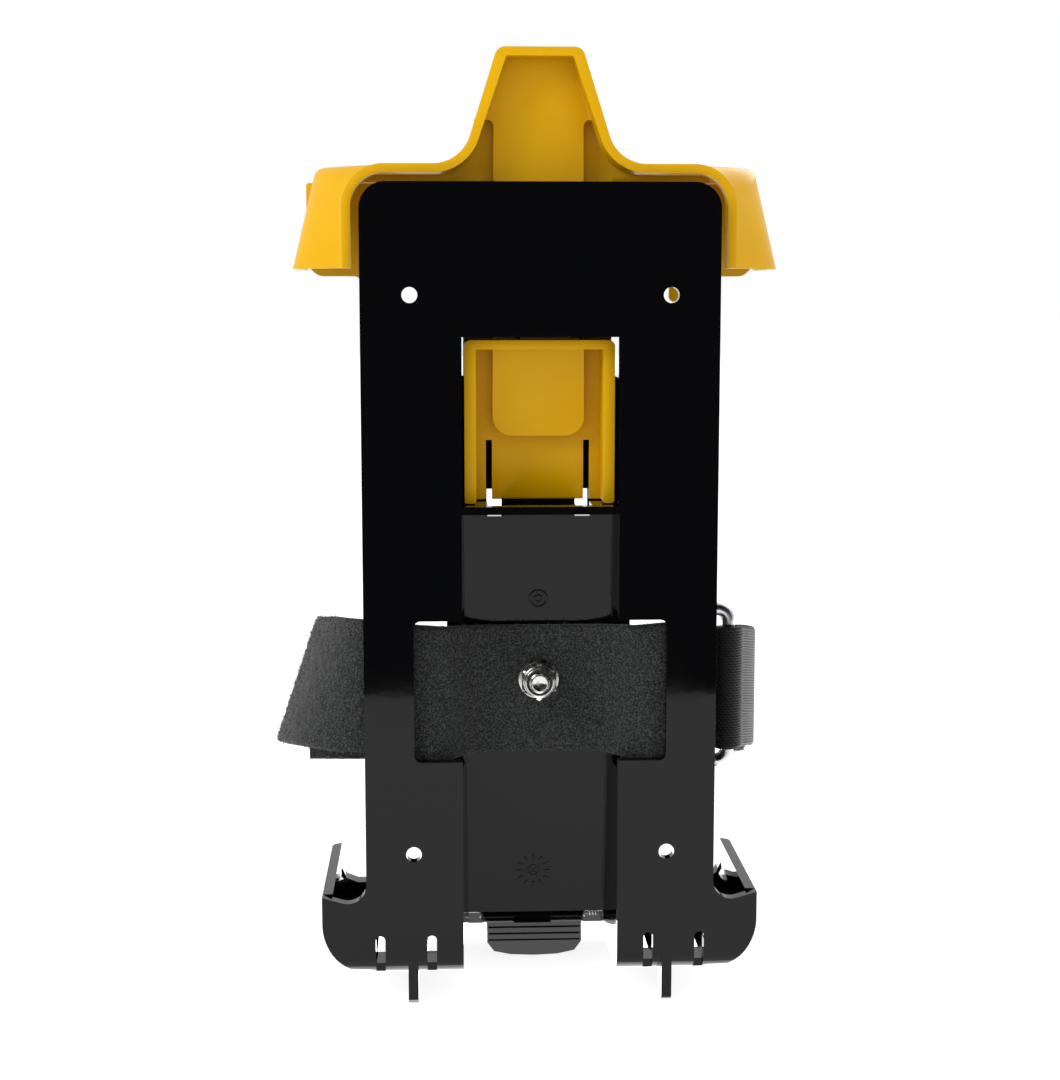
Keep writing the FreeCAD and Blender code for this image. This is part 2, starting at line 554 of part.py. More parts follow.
def add_plate_openings(body):
    """The window, the sight notches, the strap cut-out and the mounting holes."""
    pocket(body, "window", "XZ_Plane", "-past", "plate_thick + past",
           box_points("-window_half", "window_half", "window_low", "window_high"))
    for side, sign in SIDES:
        pocket(body, f"sight_notch_{side}", "XZ_Plane", "plate_thick", "rail_depth + past",
               notch_points(sign))
        pocket(body, f"strap_relief_{side}", "XZ_Plane", "plate_thick", "relief_depth",
               box_points(f"{sign} * (channel_foot_half - past)", f"{sign} * (rail_outer + past)",
                          "-relief_low", "-relief_high"))
    pocket(body, "strap_cut_out", "XZ_Plane", "-past", "plate_thick",
           box_points("-cut_half", "cut_half", "-cut_low", "-cut_high"))
    round_edges(body, "cut_out_corners", "cut_corner",
                [(f"{sign} * cut_half", "plate_thick / 2", level)
                 for _, sign in SIDES for level in ("-cut_low", "-cut_high")])
    holes = [(f"{across} * hole_half_x", f"{up} * hole_half_z") for _, across in SIDES for _, up in SIDES]
    drill(body, "mounting_holes", "XZ_Plane", "-past", "plate_thick + past", holes, "hole_radius")


def add_prongs(body):
    """Two thin prongs under the cups, flush with the back face."""
    for side, sign in SIDES:
        middle = f"{sign} * prong_x"
        pad(body, f"prong_{side}", "YZ_Plane", f"{middle} - prong_half", f"{middle} + prong_half",
            [("0", "-prong_top"), ("0", "prong_bevel - prong_tip"), ("prong_bevel", "-prong_tip"),
             ("prong_depth / 2", "-prong_tip"), ("prong_depth", "-heel_drop"),
             ("prong_depth", "past - cup_drop"), ("plate_thick", "-prong_top")])


def make_front_cover():
    """The plate that closes the slider's guide from the front."""
    body = new_body("front_cover")
    pad(body, "cover_plate", "XZ_Plane", "rail_depth", "cover_front",
        box_points("-rail_outer", "rail_outer", "cover_low", "rail_top"))
    round_edges(body, "cover_corners", "cover_corner",
                [(f"{sign} * rail_outer", "(rail_depth + cover_front) / 2", level)
                 for _, sign in SIDES for level in ("cover_low", "rail_top")])
    through = ("rail_depth - past", "cover_front + past")
    for side, sign in SIDES:
        pocket(body, f"cover_notch_{side}", "XZ_Plane", *through, notch_points(sign))
        pocket(body, f"cover_gap_{side}", "XZ_Plane", *through,
               gap_points(sign, "cover_low - past", "gap_high"))
    drill(body, "cover_holes", "XZ_Plane", *through, screw_places(), "screw_radius + screw_play")
    return body


def make_cover_screws():
    """Four pan-head screws in one group."""
    screws = []
    for number, (across, up) in enumerate(screw_places()):
        shank = cylinder(f"screw_shank_{number}", "screw_radius", "cover_front + past - screw_deep",
                         (across, "screw_deep", up), TOWARDS_FRONT)
        head = cylinder(f"screw_head_{number}", "screw_head_radius", "screw_head",
                        (across, "cover_front", up), TOWARDS_FRONT)
        screws.append(fuse(f"screw_{number}", [shank, head]))
    group = doc.addObject("Part::Compound", "cover_screws")
    group.Label = "cover_screws"
    group.Links = screws
    return group


def make_pad(label, plane, low, high, points):
    body = new_body(label)
    pad(body, f"{label}_slab", plane, low, high, points)
    return body


def make_cup_liner(side):
    """Rubber strip on the floor of a cup, between its two slots."""
    inner = "slot_inner_x + slot_half + past"
    outer = "slot_outer_x - slot_half - past"
    low, high = (inner, outer) if side == "right" else (f"-({outer})", f"-({inner})")
    floor = "cup_wall - cup_drop + slip"
    return make_pad(f"cup_liner_{side}", "YZ_Plane", low, high,
                    box_points("prong_depth", "horn_depth - cup_wall - past",
                               floor, f"{floor} + pad_thick"))


def head_section(body, name, level, half_low, half_high, low, inset):
    """One slice of the head across its depth: upright sides that lean in and round over to a flat top."""
    sketch = new_sketch(body, name, "XZ_Plane", level)
    bevel = f"{MID_ARC} * crown"
    draw_outline(sketch, mirrored([
        (f"{half_high} - crown - {inset}", f"head_top - {inset}"),
        (f"{half_high} - {bevel} - {inset}", f"head_top - {bevel} - {inset}"),
        (f"{half_high} - {inset}", f"head_top - crown - {inset}"), (f"{half_low} - {inset}", low)]))
    return sketch


def add_loft(body, kind, name, sections):
    loft = body.newObject(f"PartDesign::{kind}", name)
    loft.Profile = sections[0]
    loft.Sections = sections[1:]
    loft.Ruled = True


def neck_outline(inset, low):
    """The head at its back edge, bevelled where its corners are round."""
    bevel = f"{inset} + {MID_ARC} * (shoulder - {inset})"
    return mirrored([("neck_half - shoulder", f"head_top - {inset}"),
                     (f"neck_half - ({bevel})", f"head_top - ({bevel})"),
                     (f"neck_half - {inset}", "head_top - shoulder"), (f"neck_half - {inset}", low)])


def make_head_slider():
    """The yellow moulding: a cap over the collector's head, a thumb tongue and the slider below it."""
    body = new_body("head_slider")
    corner = "lip_front - lip_corner"
    drawn = "lobe_low_half - lobe_draw"
    tip_low, tip_high = "lobe_low_half - lip_corner", "lobe_high_half - lip_corner + past"
    pad(body, "neck_rim", "XZ_Plane", "head_back", "neck_depth", neck_outline("0", "head_low"))
    neck_face = new_sketch(body, "neck_face", "XZ_Plane", "neck_depth")
    draw_outline(neck_face, neck_outline("0", "head_low"))
    add_loft(body, "AdditiveLoft", "cap", [
        neck_face,
        head_section(body, "flare_face", "flare_depth", "lobe_low_half", "lobe_high_half", "head_low", "0"),
        head_section(body, "corner_face", corner, drawn, "lobe_high_half", "head_low", "0"),
        head_section(body, "lip_face", "lip_front", tip_low, tip_high, "head_low", "0")])
    pocket(body, "neck_hollow", "XZ_Plane", "head_back - past", "neck_depth + past",
           neck_outline("head_wall", "clear_high"))
    hollow_face = new_sketch(body, "hollow_face", "XZ_Plane", "neck_depth + past")
    draw_outline(hollow_face, neck_outline("head_wall", "clear_high"))
    below = "head_low - slip"
    add_loft(body, "SubtractiveLoft", "cap_hollow", [
        hollow_face,
        head_section(body, "inner_flare", "flare_depth + past", "lobe_low_half", "lobe_high_half", below,
                     "head_wall"),
        head_section(body, "inner_corner", corner, drawn, "lobe_high_half", below, "head_wall"),
        head_section(body, "inner_lip", "lip_front - head_wall", f"{tip_low} + 2 * past",
                     f"{tip_high} + 2 * past", below, "head_wall")])
    add_head_ears(body)
    add_thumb_tongue(body)
    return body


def add_head_ears(body):
    """The front lip: a square-cornered plate that reaches lower in two ears beside an arch."""
    pad(body, "front_lip", "XZ_Plane", "lip_front - head_wall", "lip_front",
        box_points("-front_half", "front_half", "head_low", "lip_top"))
    for side, sign in SIDES:
        ear = [("arch_half - past", "ear_low"), ("ear_foot_half", "ear_low"), ("ear_bend", "ear_shoulder"),
               ("ear_outer", "ear_shoulder"), ("ear_outer", "ear_root"), ("arch_half - past", "ear_root")]
        pad(body, f"ear_{side}", "XZ_Plane", "lip_front - head_wall", "lip_front",
            [(f"{sign} * ({across})", up) for across, up in ear])
    pocket(body, "arch", "XZ_Plane", "lip_front - head_wall - past", "lip_front + past",
           mirrored([("arch_half - arch_corner", "arch_top"), ("arch_half", "arch_top - arch_corner"),
                     ("arch_half", "ear_low - past")]))


def add_thumb_tongue(body):
    """The slider's U section, the thumb tongue above it and the raised panel that runs down both."""
    pad(body, "slider_legs", "XY_Plane", "slider_low", "seat_high",
        mirrored([("slider_inner", "web_back"), ("slider_inner", "slider_back"),
                  ("slider_half", "slider_back"), ("slider_half", "web_front")]))
    middle = "(slider_back + web_front) / 2"
    round_edges(body, "seat_corners", "seat_corner",
                [(f"{sign} * slider_half", middle, "seat_high") for _, sign in SIDES])
    pad(body, "slider_web", "XZ_Plane", "web_back", "web_front",
        box_points("-slider_half", "slider_half", "seat_low", "head_top - past"))
    pad(body, "spring_seat", "YZ_Plane", "-slider_inner", "slider_inner",
        box_points("slider_back", "web_back", "seat_low", "seat_high"))
    pad(body, "thumb_tongue", "XZ_Plane", "head_back", "web_front",
        mirrored([("horn_tip", "horn_top"), ("horn_foot", "head_top"),
                  ("horn_foot", "head_top - head_wall")]))
    round_edges(body, "tongue_tip", "tip_radius",
                [(f"{sign} * horn_tip", "(head_back + web_front) / 2", "horn_top") for _, sign in SIDES])
    round_edges(body, "tongue_foot", "horn_blend",
                [(f"{sign} * horn_foot", depth, "head_top") for _, sign in SIDES
                 for depth in ("(head_back + neck_depth) / 2", "(neck_depth + web_front) / 2")])
    pocket(body, "tongue_hollow", "XZ_Plane", "head_back - past", "web_back",
           mirrored([("horn_tip - head_wall", "horn_top - head_wall"),
                     ("horn_foot - head_wall - past", "head_top"),
                     ("slider_inner", "head_top - head_wall"), ("slider_inner", "seat_high")]))
    pad(body, "raised_panel", "XZ_Plane", "panel_back", "web_back + past",
        mirrored([("panel_tip", "panel_top"), ("panel_half", "panel_narrow"), ("panel_half", "panel_low")]))
    round_edges(body, "panel_corners", "panel_corner",
                [(f"{sign} * panel_half", "(panel_back + web_back) / 2", "panel_low") for _, sign in SIDES])
    pocket(body, "panel_groove", "XZ_Plane", "panel_back + head_wall", "web_front + past",
           mirrored([("groove_tip", "groove_high"), ("groove_half", "panel_narrow"),
                     ("groove_half", "groove_low")]))
    for side, sign in SIDES:
        middle = f"{sign} * finger_x"
        pocket(body, f"finger_slit_{side}", "XZ_Plane", "web_back - past", "web_front + past",
               box_points(f"{middle} - finger_slit", f"{middle} + finger_slit",
                          "slider_low - past", "finger_top"))


def make_coil(label, names, base, turn=None):
    """A wire coil; names are the sheet's words for its radius, wire, pitch and turns."""
    radius, wire_radius, pitch, turns = names
    helix = doc.addObject("Part::Helix", f"{label}_path")
    helix.setExpression("Radius", bound(radius))
    helix.setExpression("Pitch", bound(pitch))
    helix.setExpression("Height", bound(f"({pitch}) * {turns}"))
    wire = doc.addObject("Part::Circle", f"{label}_wire")
    wire.setExpression("Radius", bound(wire_radius))
    wire.Placement = FreeCAD.Placement(FreeCAD.Vector(), TOWARDS_BACK)
    wire.setExpression(".Placement.Base.x", bound(radius))
    coil = doc.addObject("Part::Sweep", label)
    coil.Label = label
    coil.Sections = [wire]
    coil.Spine = helix
    coil.Solid = True
    coil.Frenet = True
    coil.Placement = FreeCAD.Placement(FreeCAD.Vector(), turn or FreeCAD.Rotation())
    for axis, text in zip("xyz", base):
        coil.setExpression(f".Placement.Base.{axis}", bound(text))
    return coil


def make_spring(label, across):
    """A compression spring that stands between the slider's seat and the stop in the body."""
    pitch = "(stop_low - seat_high - 2 * (spring_wire + spring_gap)) / spring_turns"
    return make_coil(label, ("spring_radius", "spring_wire", pitch, "spring_turns"),
                     (across, "spring_depth", "seat_high + spring_wire + spring_gap"))


def make_guide_pins():
    """Two steel pins that keep the head springs upright."""
    pins = [cylinder(f"guide_pin_{side}", "guide_radius", "stop_low + stop_thick - guide_low",
                     (f"{sign} * spring_x", "spring_depth", "guide_low")) for side, sign in SIDES]
    group = doc.addObject("Part::Compound", "spring_guide_pins")
    group.Label = "spring_guide_pins"
    group.Links = pins
    return group


def make_release_lever():
    """The thumb lever under the channel: a barrel on its pin, a shelf and a ridged, turned-down lip."""
    body = new_body("release_lever")
    barrel = extrude(body, "Pad", "barrel", "YZ_Plane", "-lever_half", "lever_half")
    draw_circles(barrel, [("lever_y", "-lever_drop")], "lever_barrel")
    pad(body, "shelf", "XY_Plane", "-lever_drop - shelf_thick", "-lever_drop",
        mirrored([("lever_half", "lever_y"), ("lip_half", "lip_back")]))
    lip = [("lip_half", "-lever_drop - slip"), ("lip_half", "2 * shelf_thick - lip_drop"),
           ("lip_half - shelf_thick", "1.4 * past - lip_drop"), ("lip_half / 2", "0.3 * past - lip_drop"),
           ("past", "-lip_drop")]
    pad(body, "lip", "XZ_Plane", "lip_back", "lip_back + shelf_thick", mirrored(lip))
    for number in range(3):
        level = f"ridge_high - lever_drop - {number + 1} * ridge_pitch"
        ridge = [("lip_back + past", f"{level} + ridge_half"), ("lip_back - ridge_high", level),
                 ("lip_back + past", f"{level} - ridge_half")]
        pad(body, f"ridge_{number}", "YZ_Plane", "-ridge_long", "ridge_long", ridge)
    nose = [("lever_y - lever_pin_radius", "-lever_drop"), ("lever_y + shelf_thick", "-lever_drop"),
            ("lever_y + ridge_high", "nose_high - lever_drop"),
            ("lever_y - lever_pin_radius", "nose_high - lever_drop")]
    pad(body, "hook_nose", "YZ_Plane", "-nose_half", "nose_half", nose)
    drill(body, "lever_bore", "YZ_Plane", "-lever_half - past", "lever_half + past",
          [("lever_y", "-lever_drop")], "lever_pin_radius + lever_play")
    return body


def make_lever_spring():
    """A small torsion spring on the lever's pin, beside the barrel."""
    return make_coil("lever_spring", ("coil_radius", "coil_wire", "coil_pitch", "coil_turns"),
                     ("lever_half + 2 * coil_wire", "lever_y", "-lever_drop"), TOWARDS_RIGHT)


def rounded_wire(corners):
    """A wire through flat corner points (x, y, radius); each inner corner is an arc of its radius."""
    points = [FreeCAD.Vector(x, y, 0) for x, y, _ in corners]
    edges = []
    start = points[0]
    for before, corner, after, (_, _, radius) in zip(points, points[1:], points[2:], corners[1:]):
        back = (before - corner).normalize()
        ahead = (after - corner).normalize()
        half = back.getAngle(ahead) / 2
        reach = radius / math.tan(half)
        middle = (back + ahead).normalize()
        enter = corner + back * reach
        leave = corner + ahead * reach
        crown = corner + middle * (radius / math.sin(half) - radius)
        edges += [Part.LineSegment(start, enter).toShape(), Part.Arc(enter, crown, leave).toShape()]
        start = leave
    edges.append(Part.LineSegment(start, points[-1]).toShape())
    return Part.Wire(edges)


def make_ribbon(label, corners, thick, wide, high):
    """A flat strap on edge along a route in plan, as a closed solid that drops with depth."""
    wire = rounded_wire(corners)
    face = wire.makeOffset2D(thick, fill=True, openResult=True)
    solid = face.extrude(FreeCAD.Vector(0, 0, -wide))
    lean = FreeCAD.Matrix()
    lean.A32 = -size("strap_sag")
    lean.A34 = high + size("strap_sag * strap_start")
    ribbon = doc.addObject("Part::Feature", label)
    ribbon.Label = label
    ribbon.Shape = solid.transformGeometry(lean).Solids[0]
    ribbon.Placement = FreeCAD.Placement()


def strap_routes():
    """Plan routes (x, y, corner radius) of one face of each strap layer."""
    inner = size("ring_inner_x")
    outer = size("ring_outer_x")
    depth = size("ring_depth")
    rest = size("boss_back - strap_thick - strap_slip")
    back = size("plate_thick + strap_gap")
    wrap = size("band_wrap")
    turn = size("band_wrap - strap_slip")
    band = [(inner + wrap, depth - 4, 0), (inner + wrap, depth + wrap, turn),
            (inner - wrap, depth + wrap, turn), (inner - wrap, back, 4),
            (29, back, 7), (17, rest, 9), (-17, rest, 9), (-29, back, 7),
            (-56, back, 14), (-73.5, 27, 24), (-73.5, 54, 12), (-60, 67, 12), (58, 67, 10), (65.5, 53, 13),
            (62.5, 33, 9), (56.2, 23.2, 0)]
    wrap = size("tail_wrap")
    turn = size("tail_wrap - strap_slip")
    tail = [(outer - wrap, depth + 2.5, 0), (outer - wrap, depth - wrap, turn),
            (outer + wrap, depth - wrap, turn), (outer + wrap, depth + 1, 3),
            (68.6, 33, 14), (69.4, 55, 11), (61, 70.4, 9), (-56, 70.4, 0)]
    return band, tail


def make_straps():
    """The hook-and-loop band, its folded-back tail and the hook patch between them."""
    band, tail = strap_routes()
    wide = size("strap_wide")
    high = -size("strap_top")
    make_ribbon("strap_band", band, size("strap_thick"), wide, high)
    strap = doc.getObject("strap_band")
    hole = Part.makeCylinder(size("bolt_radius + bolt_play"), size("boss_front"),
                             FreeCAD.Vector(0, 0, -size("bolt_drop")), FreeCAD.Vector(0, 1, 0))
    strap.Shape = strap.Shape.cut(hole).Solids[0]
    make_ribbon("strap_tail", tail, -size("tail_thick"), wide - size("past"), high - size("past / 2"))
    drop = "strap_top + strap_sag * (patch_near - strap_start)"
    patch = make_pad("hook_patch", "XZ_Plane", "patch_near", "patch_far",
                     box_points("patch_left", "patch_right", f"2 * past - ({drop}) - strap_wide",
                                f"-({drop}) - 2 * past"))
    return [strap, doc.getObject("strap_tail"), patch]


def make_strap_ring():
    """A rectangular ring of round wire that stands on edge."""
    pieces = []
    spread = {"ring_inner_x": -1, "ring_outer_x": 1}
    for across in spread:
        pieces.append(cylinder(f"{across}_bar", "ring_wire", "ring_low - ring_high - 2 * ring_corner",
                               (across, "ring_depth", "-ring_low + ring_corner")))
    for level in ("ring_high", "ring_low"):
        pieces.append(cylinder(f"{level}_bar", "ring_wire", "ring_outer_x - ring_inner_x - 2 * ring_corner",
                               ("ring_inner_x + ring_corner", "ring_depth", f"-{level}"), TOWARDS_RIGHT))
    quarters = (("ring_outer_x - ring_corner", "-ring_high - ring_corner", 0),
                ("ring_inner_x + ring_corner", "-ring_high - ring_corner", 90),
                ("ring_inner_x + ring_corner", "-ring_low + ring_corner", 180),
                ("ring_outer_x - ring_corner", "-ring_low + ring_corner", 270))
    for number, (across, up, turn) in enumerate(quarters):
        bend = doc.addObject("Part::Torus", f"ring_bend_{number}")
        bend.setExpression("Radius1", bound("ring_corner"))
        bend.setExpression("Radius2", bound("ring_wire"))
        bend.Angle3 = 90
        turned = FreeCAD.Rotation(FreeCAD.Vector(0, 1, 0), -turn)
        bend.Placement = FreeCAD.Placement(FreeCAD.Vector(), turned * TOWARDS_BACK)
        for axis, text in zip("xyz", (across, "ring_depth", up)):
            bend.setExpression(f".Placement.Base.{axis}", bound(text))
        pieces.append(bend)
    return fuse("strap_ring", pieces)


def make_fastener():
    """The bolt through the strap, its washer, and a lock nut with a nylon collar."""
    middle = ("0", "boss_front", "-bolt_drop")
    shank = cylinder("bolt_shank", "bolt_radius", "boss_front - bolt_end + past",
                     ("0", "boss_front + past", "-bolt_drop"), TOWARDS_BACK)
    head = cylinder("bolt_head", "head_radius", "head_high", middle, TOWARDS_FRONT)
    rounded = doc.addObject("Part::Fillet", "bolt_head_round")
    rounded.Base = head
    doc.recompute()
    closed = [number for number, edge in enumerate(head.Shape.Edges, start=1) if edge.Closed]
    crown = max(closed, key=lambda number: head.Shape.Edges[number - 1].CenterOfMass.y)
    rounded.Edges = [(crown, size("head_round"), size("head_round"))]
    bolt = fuse("strap_bolt", [shank, rounded])
    washer_back = "boss_back - strap_thick - strap_slip - slip - washer_thick"
    washer = ring_of("nut_washer", "washer_radius", "bolt_radius + bolt_play", "washer_thick", washer_back)
    nut_back = f"{washer_back} - nut_slip - nut_high"
    hexagon = doc.addObject("Part::Prism", "nut_hexagon")
    hexagon.Polygon = 6
    hexagon.setExpression("Circumradius", bound("nut_flats / 1.7320508"))
    hexagon.setExpression("Height", bound("nut_high"))
    hexagon.Placement = FreeCAD.Placement(FreeCAD.Vector(), TOWARDS_FRONT)
    for axis, text in zip("xyz", ("0", nut_back, "-bolt_drop")):
        hexagon.setExpression(f".Placement.Base.{axis}", bound(text))
    bore = cylinder("nut_bore", "bolt_radius + nut_slip", "nut_high + 2 * past",
                    ("0", f"{nut_back} - past", "-bolt_drop"), TOWARDS_FRONT)
    rim = ring_of("nut_rim", "rim_radius", "collar_radius", "collar_high + nut_slip",
                  f"{nut_back} - collar_high")
    nut = fuse("lock_nut", [cut("nut_hexagon_bored", hexagon, bore), rim])
    collar = ring_of("nut_collar", "collar_radius", "bolt_radius + nut_slip", "collar_high",
                     f"{nut_back} - collar_high")
    return [bolt, washer, nut, collar]


def ring_of(label, outer, inner, thick, back):
    """A flat ring round the strap bolt, from its back face forwards."""
    disc = cylinder(f"{label}_disc", outer, thick, ("0", back, "-bolt_drop"), TOWARDS_FRONT)
    bore = cylinder(f"{label}_bore", inner, f"{thick} + 2 * past", ("0", f"{back} - past", "-bolt_drop"),
                    TOWARDS_FRONT)
    return cut(label, disc, bore)


def make_parts():
    parts = [make_cradle_body(), make_front_cover(), make_cover_screws(), make_head_slider()]
    parts.append(make_pad("rest_pad", "XZ_Plane", "cover_front", "cover_front + pad_thick",
                          box_points("-rest_half", "rest_half", "rest_low", "rest_high")))
    under_top = "head_top - head_wall - slip"
    parts.append(make_pad("head_liner", "XY_Plane", f"{under_top} - pad_thick", under_top,
                          box_points("-liner_half", "liner_half", "liner_near", "liner_far")))
    for side, sign in SIDES:
        parts.append(make_spring(f"head_spring_{side}", f"{sign} * spring_x"))
        parts.append(make_cup_liner(side))
    parts.append(make_guide_pins())
    parts.append(make_release_lever())
    parts.append(cylinder("lever_pin", "lever_pin_radius", "2 * (rail_inner + cup_wall - pin_short)",
                          ("pin_short - rail_inner - cup_wall", "lever_y", "-lever_drop"), TOWARDS_RIGHT))
    parts.append(make_lever_spring())
    parts += make_straps()
    parts.append(make_strap_ring())
    parts += make_fastener()
    return parts


def check_document():
    """Stop if any object failed, or a pocket or groove took nothing away."""
    for item in doc.Objects:
        if {"Invalid", "Error"} & set(item.State):
            raise RuntimeError(f"{item.Name} failed: {item.State}")
        if item.TypeId in ("PartDesign::Pocket", "PartDesign::SubtractiveLoft"):
            if item.Shape.Volume > item.BaseFeature.Shape.Volume - 0.01:
                raise RuntimeError(f"{item.Name} cuts nothing")


def export(parts):
    """Write one STEP file for each sub-part."""
    os.makedirs("parts", exist_ok=True)
    for part in parts:
        shape = part.Shape
        if shape.isNull() or not shape.isValid():
            raise RuntimeError(f"{part.Label} has no valid shape")
        print(f"{part.Label:20s} solids {len(shape.Solids)}  volume {shape.Volume / 1000:8.3f} cm3")
        shape.exportStep(f"parts/{part.Label}.step")


sub_parts = make_parts()
doc.recompute()
check_document()
export(sub_parts)
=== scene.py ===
"""Cradle for a handheld data collector: a black moulding, a yellow sprung head, and a hook-and-loop strap.

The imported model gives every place. Sizes here are millimetres, turned into metres when a mesh is made.
"""
import math
import random

import bmesh
import bpy
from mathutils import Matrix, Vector, noise


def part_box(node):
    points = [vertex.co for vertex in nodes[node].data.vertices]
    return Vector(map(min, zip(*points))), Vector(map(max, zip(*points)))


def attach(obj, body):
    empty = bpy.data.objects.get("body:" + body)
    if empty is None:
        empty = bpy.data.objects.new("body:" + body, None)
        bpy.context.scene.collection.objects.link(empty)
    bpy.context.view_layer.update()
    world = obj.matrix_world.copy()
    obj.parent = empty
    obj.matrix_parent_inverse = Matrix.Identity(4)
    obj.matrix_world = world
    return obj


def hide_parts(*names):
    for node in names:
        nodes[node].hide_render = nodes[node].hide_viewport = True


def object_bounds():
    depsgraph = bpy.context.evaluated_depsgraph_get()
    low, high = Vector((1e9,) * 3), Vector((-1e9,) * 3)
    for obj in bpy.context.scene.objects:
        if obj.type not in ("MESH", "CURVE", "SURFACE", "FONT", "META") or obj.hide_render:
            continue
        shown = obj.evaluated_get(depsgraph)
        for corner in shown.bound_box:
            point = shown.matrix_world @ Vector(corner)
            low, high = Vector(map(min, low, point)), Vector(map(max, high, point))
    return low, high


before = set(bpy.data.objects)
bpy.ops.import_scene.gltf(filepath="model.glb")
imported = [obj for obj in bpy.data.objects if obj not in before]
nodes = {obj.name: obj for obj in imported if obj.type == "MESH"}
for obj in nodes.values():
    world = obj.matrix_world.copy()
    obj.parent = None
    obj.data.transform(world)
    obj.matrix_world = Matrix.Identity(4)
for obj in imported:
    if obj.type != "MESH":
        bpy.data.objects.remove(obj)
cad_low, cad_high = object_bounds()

MM = 0.001
TAU = 2 * math.pi
EDGE_SEGMENTS = 2       # faces across a softened edge
EDGE_ANGLE = 50         # edges that turn by more degrees than this are softened
SAME_PLACE = 0.002      # corners closer than this are one
scene = bpy.context.scene


def box_mm(node):
    """Lowest and highest corner of a CAD node, in millimetres."""
    low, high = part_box(node)
    return Vector(low) / MM, Vector(high) / MM


# ---------------------------------------------------------------- camera, light and stage

def make_camera():
    data = bpy.data.cameras.new("view_camera")
    data.lens = 61.7
    data.sensor_width = 36
    camera = bpy.data.objects.new("view_camera", data)
    scene.collection.objects.link(camera)
    camera.location = (-0.02734, -0.52489, 0.08052)
    pitch = math.radians(-7.486)
    yaw = math.radians(-2.645)
    camera.rotation_euler = (math.pi / 2 + pitch, 0, yaw)
    scene.camera = camera


def area_light(name, place, target, width, watts):
    data = bpy.data.lights.new(name, "AREA")
    data.shape = "DISK"
    data.size = width
    data.energy = watts
    light = bpy.data.objects.new(name, data)
    light.location = place
    light.rotation_euler = (Vector(target) - Vector(place)).to_track_quat("-Z", "Y").to_euler()
    scene.collection.objects.link(light)


def stage_plane(name, corners, colour, glow=0.0):
    mesh = bpy.data.meshes.new(name)
    mesh.from_pydata(corners, [], [(0, 1, 2, 3)])
    plane = bpy.data.objects.new(name, mesh)
    scene.collection.objects.link(plane)
    material, shader = new_material(name, colour, 0.9)
    shader.inputs["Specular IOR Level"].default_value = 0.0
    shader.inputs["Emission Color"].default_value = (1, 1, 1, 1)
    shader.inputs["Emission Strength"].default_value = glow
    mesh.materials.append(material)
    return plane


def only_in_reflections(plane):
    plane.visible_camera = False
    plane.visible_diffuse = False
    plane.visible_shadow = False


def make_stage():
    """A pale floor lit almost white, white surroundings, and two planes that only reflections see: a black
    flag that paints a dark reflection into the gloss, and a glowing plane that paints a bright reflection.
    """
    world = bpy.data.worlds.new("studio")
    scene.world = world
    world.use_nodes = True
    world.node_tree.nodes["Background"].inputs[0].default_value = (1, 1, 1, 1)
    world.node_tree.nodes["Background"].inputs[1].default_value = 1.0
    floor = cad_low.z - 0.0005
    reach = 6.0
    stage_plane("floor", [(-reach, -reach, floor), (reach, -reach, floor), (reach, reach, floor),
                          (-reach, reach, floor)], (0.4, 0.4, 0.4), 0.85)
    wide, high, near = 2.5, 2.0, -0.43
    # painted reflection: a black sheet in front that only reflections see, so the gloss black reflects dark
    # there
    dark_reflection_flag = stage_plane("dark_reflection_flag", [(-wide, near, floor), (wide, near, floor), (wide, near, high),
                                (-wide, near, high)], (0.0, 0.0, 0.0))
    only_in_reflections(dark_reflection_flag)
    level, side = floor + 0.0002, 0.5
    # painted reflection: a plane glowing at strength 4 just above the floor that only reflections see, giving
    # bright reflections in the gloss from below
    bright_reflection_plane = stage_plane("glowing_reflection_plane", [(-side, 0.0, level), (side, 0.0, level), (side, side, level),
                                    (-side, side, level)], (0, 0, 0), 4.0)
    only_in_reflections(bright_reflection_plane)
    area_light("key_light", (-0.9, -0.5, 0.7), (0, 0, 0), 0.6, 8)
    area_light("back_light", (0.7, 0.8, 0.7), (0, 0, 0), 0.8, 6)
    scene.view_settings.view_transform = "Standard"


# ---------------------------------------------------------------- materials

def new_material(name, colour, roughness, metallic=0.0):
    """A node material and its shader."""
    material = bpy.data.materials.new(name)
    material.use_nodes = True
    shader = material.node_tree.nodes["Principled BSDF"]
    shader.inputs["Base Color"].default_value = (*colour, 1)
    shader.inputs["Roughness"].default_value = roughness
    shader.inputs["Metallic"].default_value = metallic
    return material, shader


def object_noise(tree, scale, detail=4.0, stretch=(1, 1, 1)):
    """Noise in the object's own metres; scale is in features per metre."""
    place = tree.nodes.new("ShaderNodeTexCoord")
    mapping = tree.nodes.new("ShaderNodeMapping")
    mapping.inputs["Scale"].default_value = stretch
    texture = tree.nodes.new("ShaderNodeTexNoise")
    texture.inputs["Scale"].default_value = scale
    texture.inputs["Detail"].default_value = detail
    tree.links.new(place.outputs["Object"], mapping.inputs["Vector"])
    tree.links.new(mapping.outputs["Vector"], texture.inputs["Vector"])
    return texture.outputs["Fac"]


def ramp(tree, source, low, high, from_low=0.3, from_high=0.7):
    """Map a factor to a range of numbers."""
    node = tree.nodes.new("ShaderNodeMapRange")
    node.inputs["From Min"].default_value = from_low
    node.inputs["From Max"].default_value = from_high
    node.inputs["To Min"].default_value = low
    node.inputs["To Max"].default_value = high
    tree.links.new(source, node.inputs["Value"])
    return node.outputs["Result"]


def mixed_colour(tree, factor, first, second):
    node = tree.nodes.new("ShaderNodeMix")
    node.data_type = "RGBA"
    node.inputs["A"].default_value = (*first, 1)
    node.inputs["B"].default_value = (*second, 1)
    tree.links.new(factor, node.inputs["Factor"])
    return node.outputs["Result"]


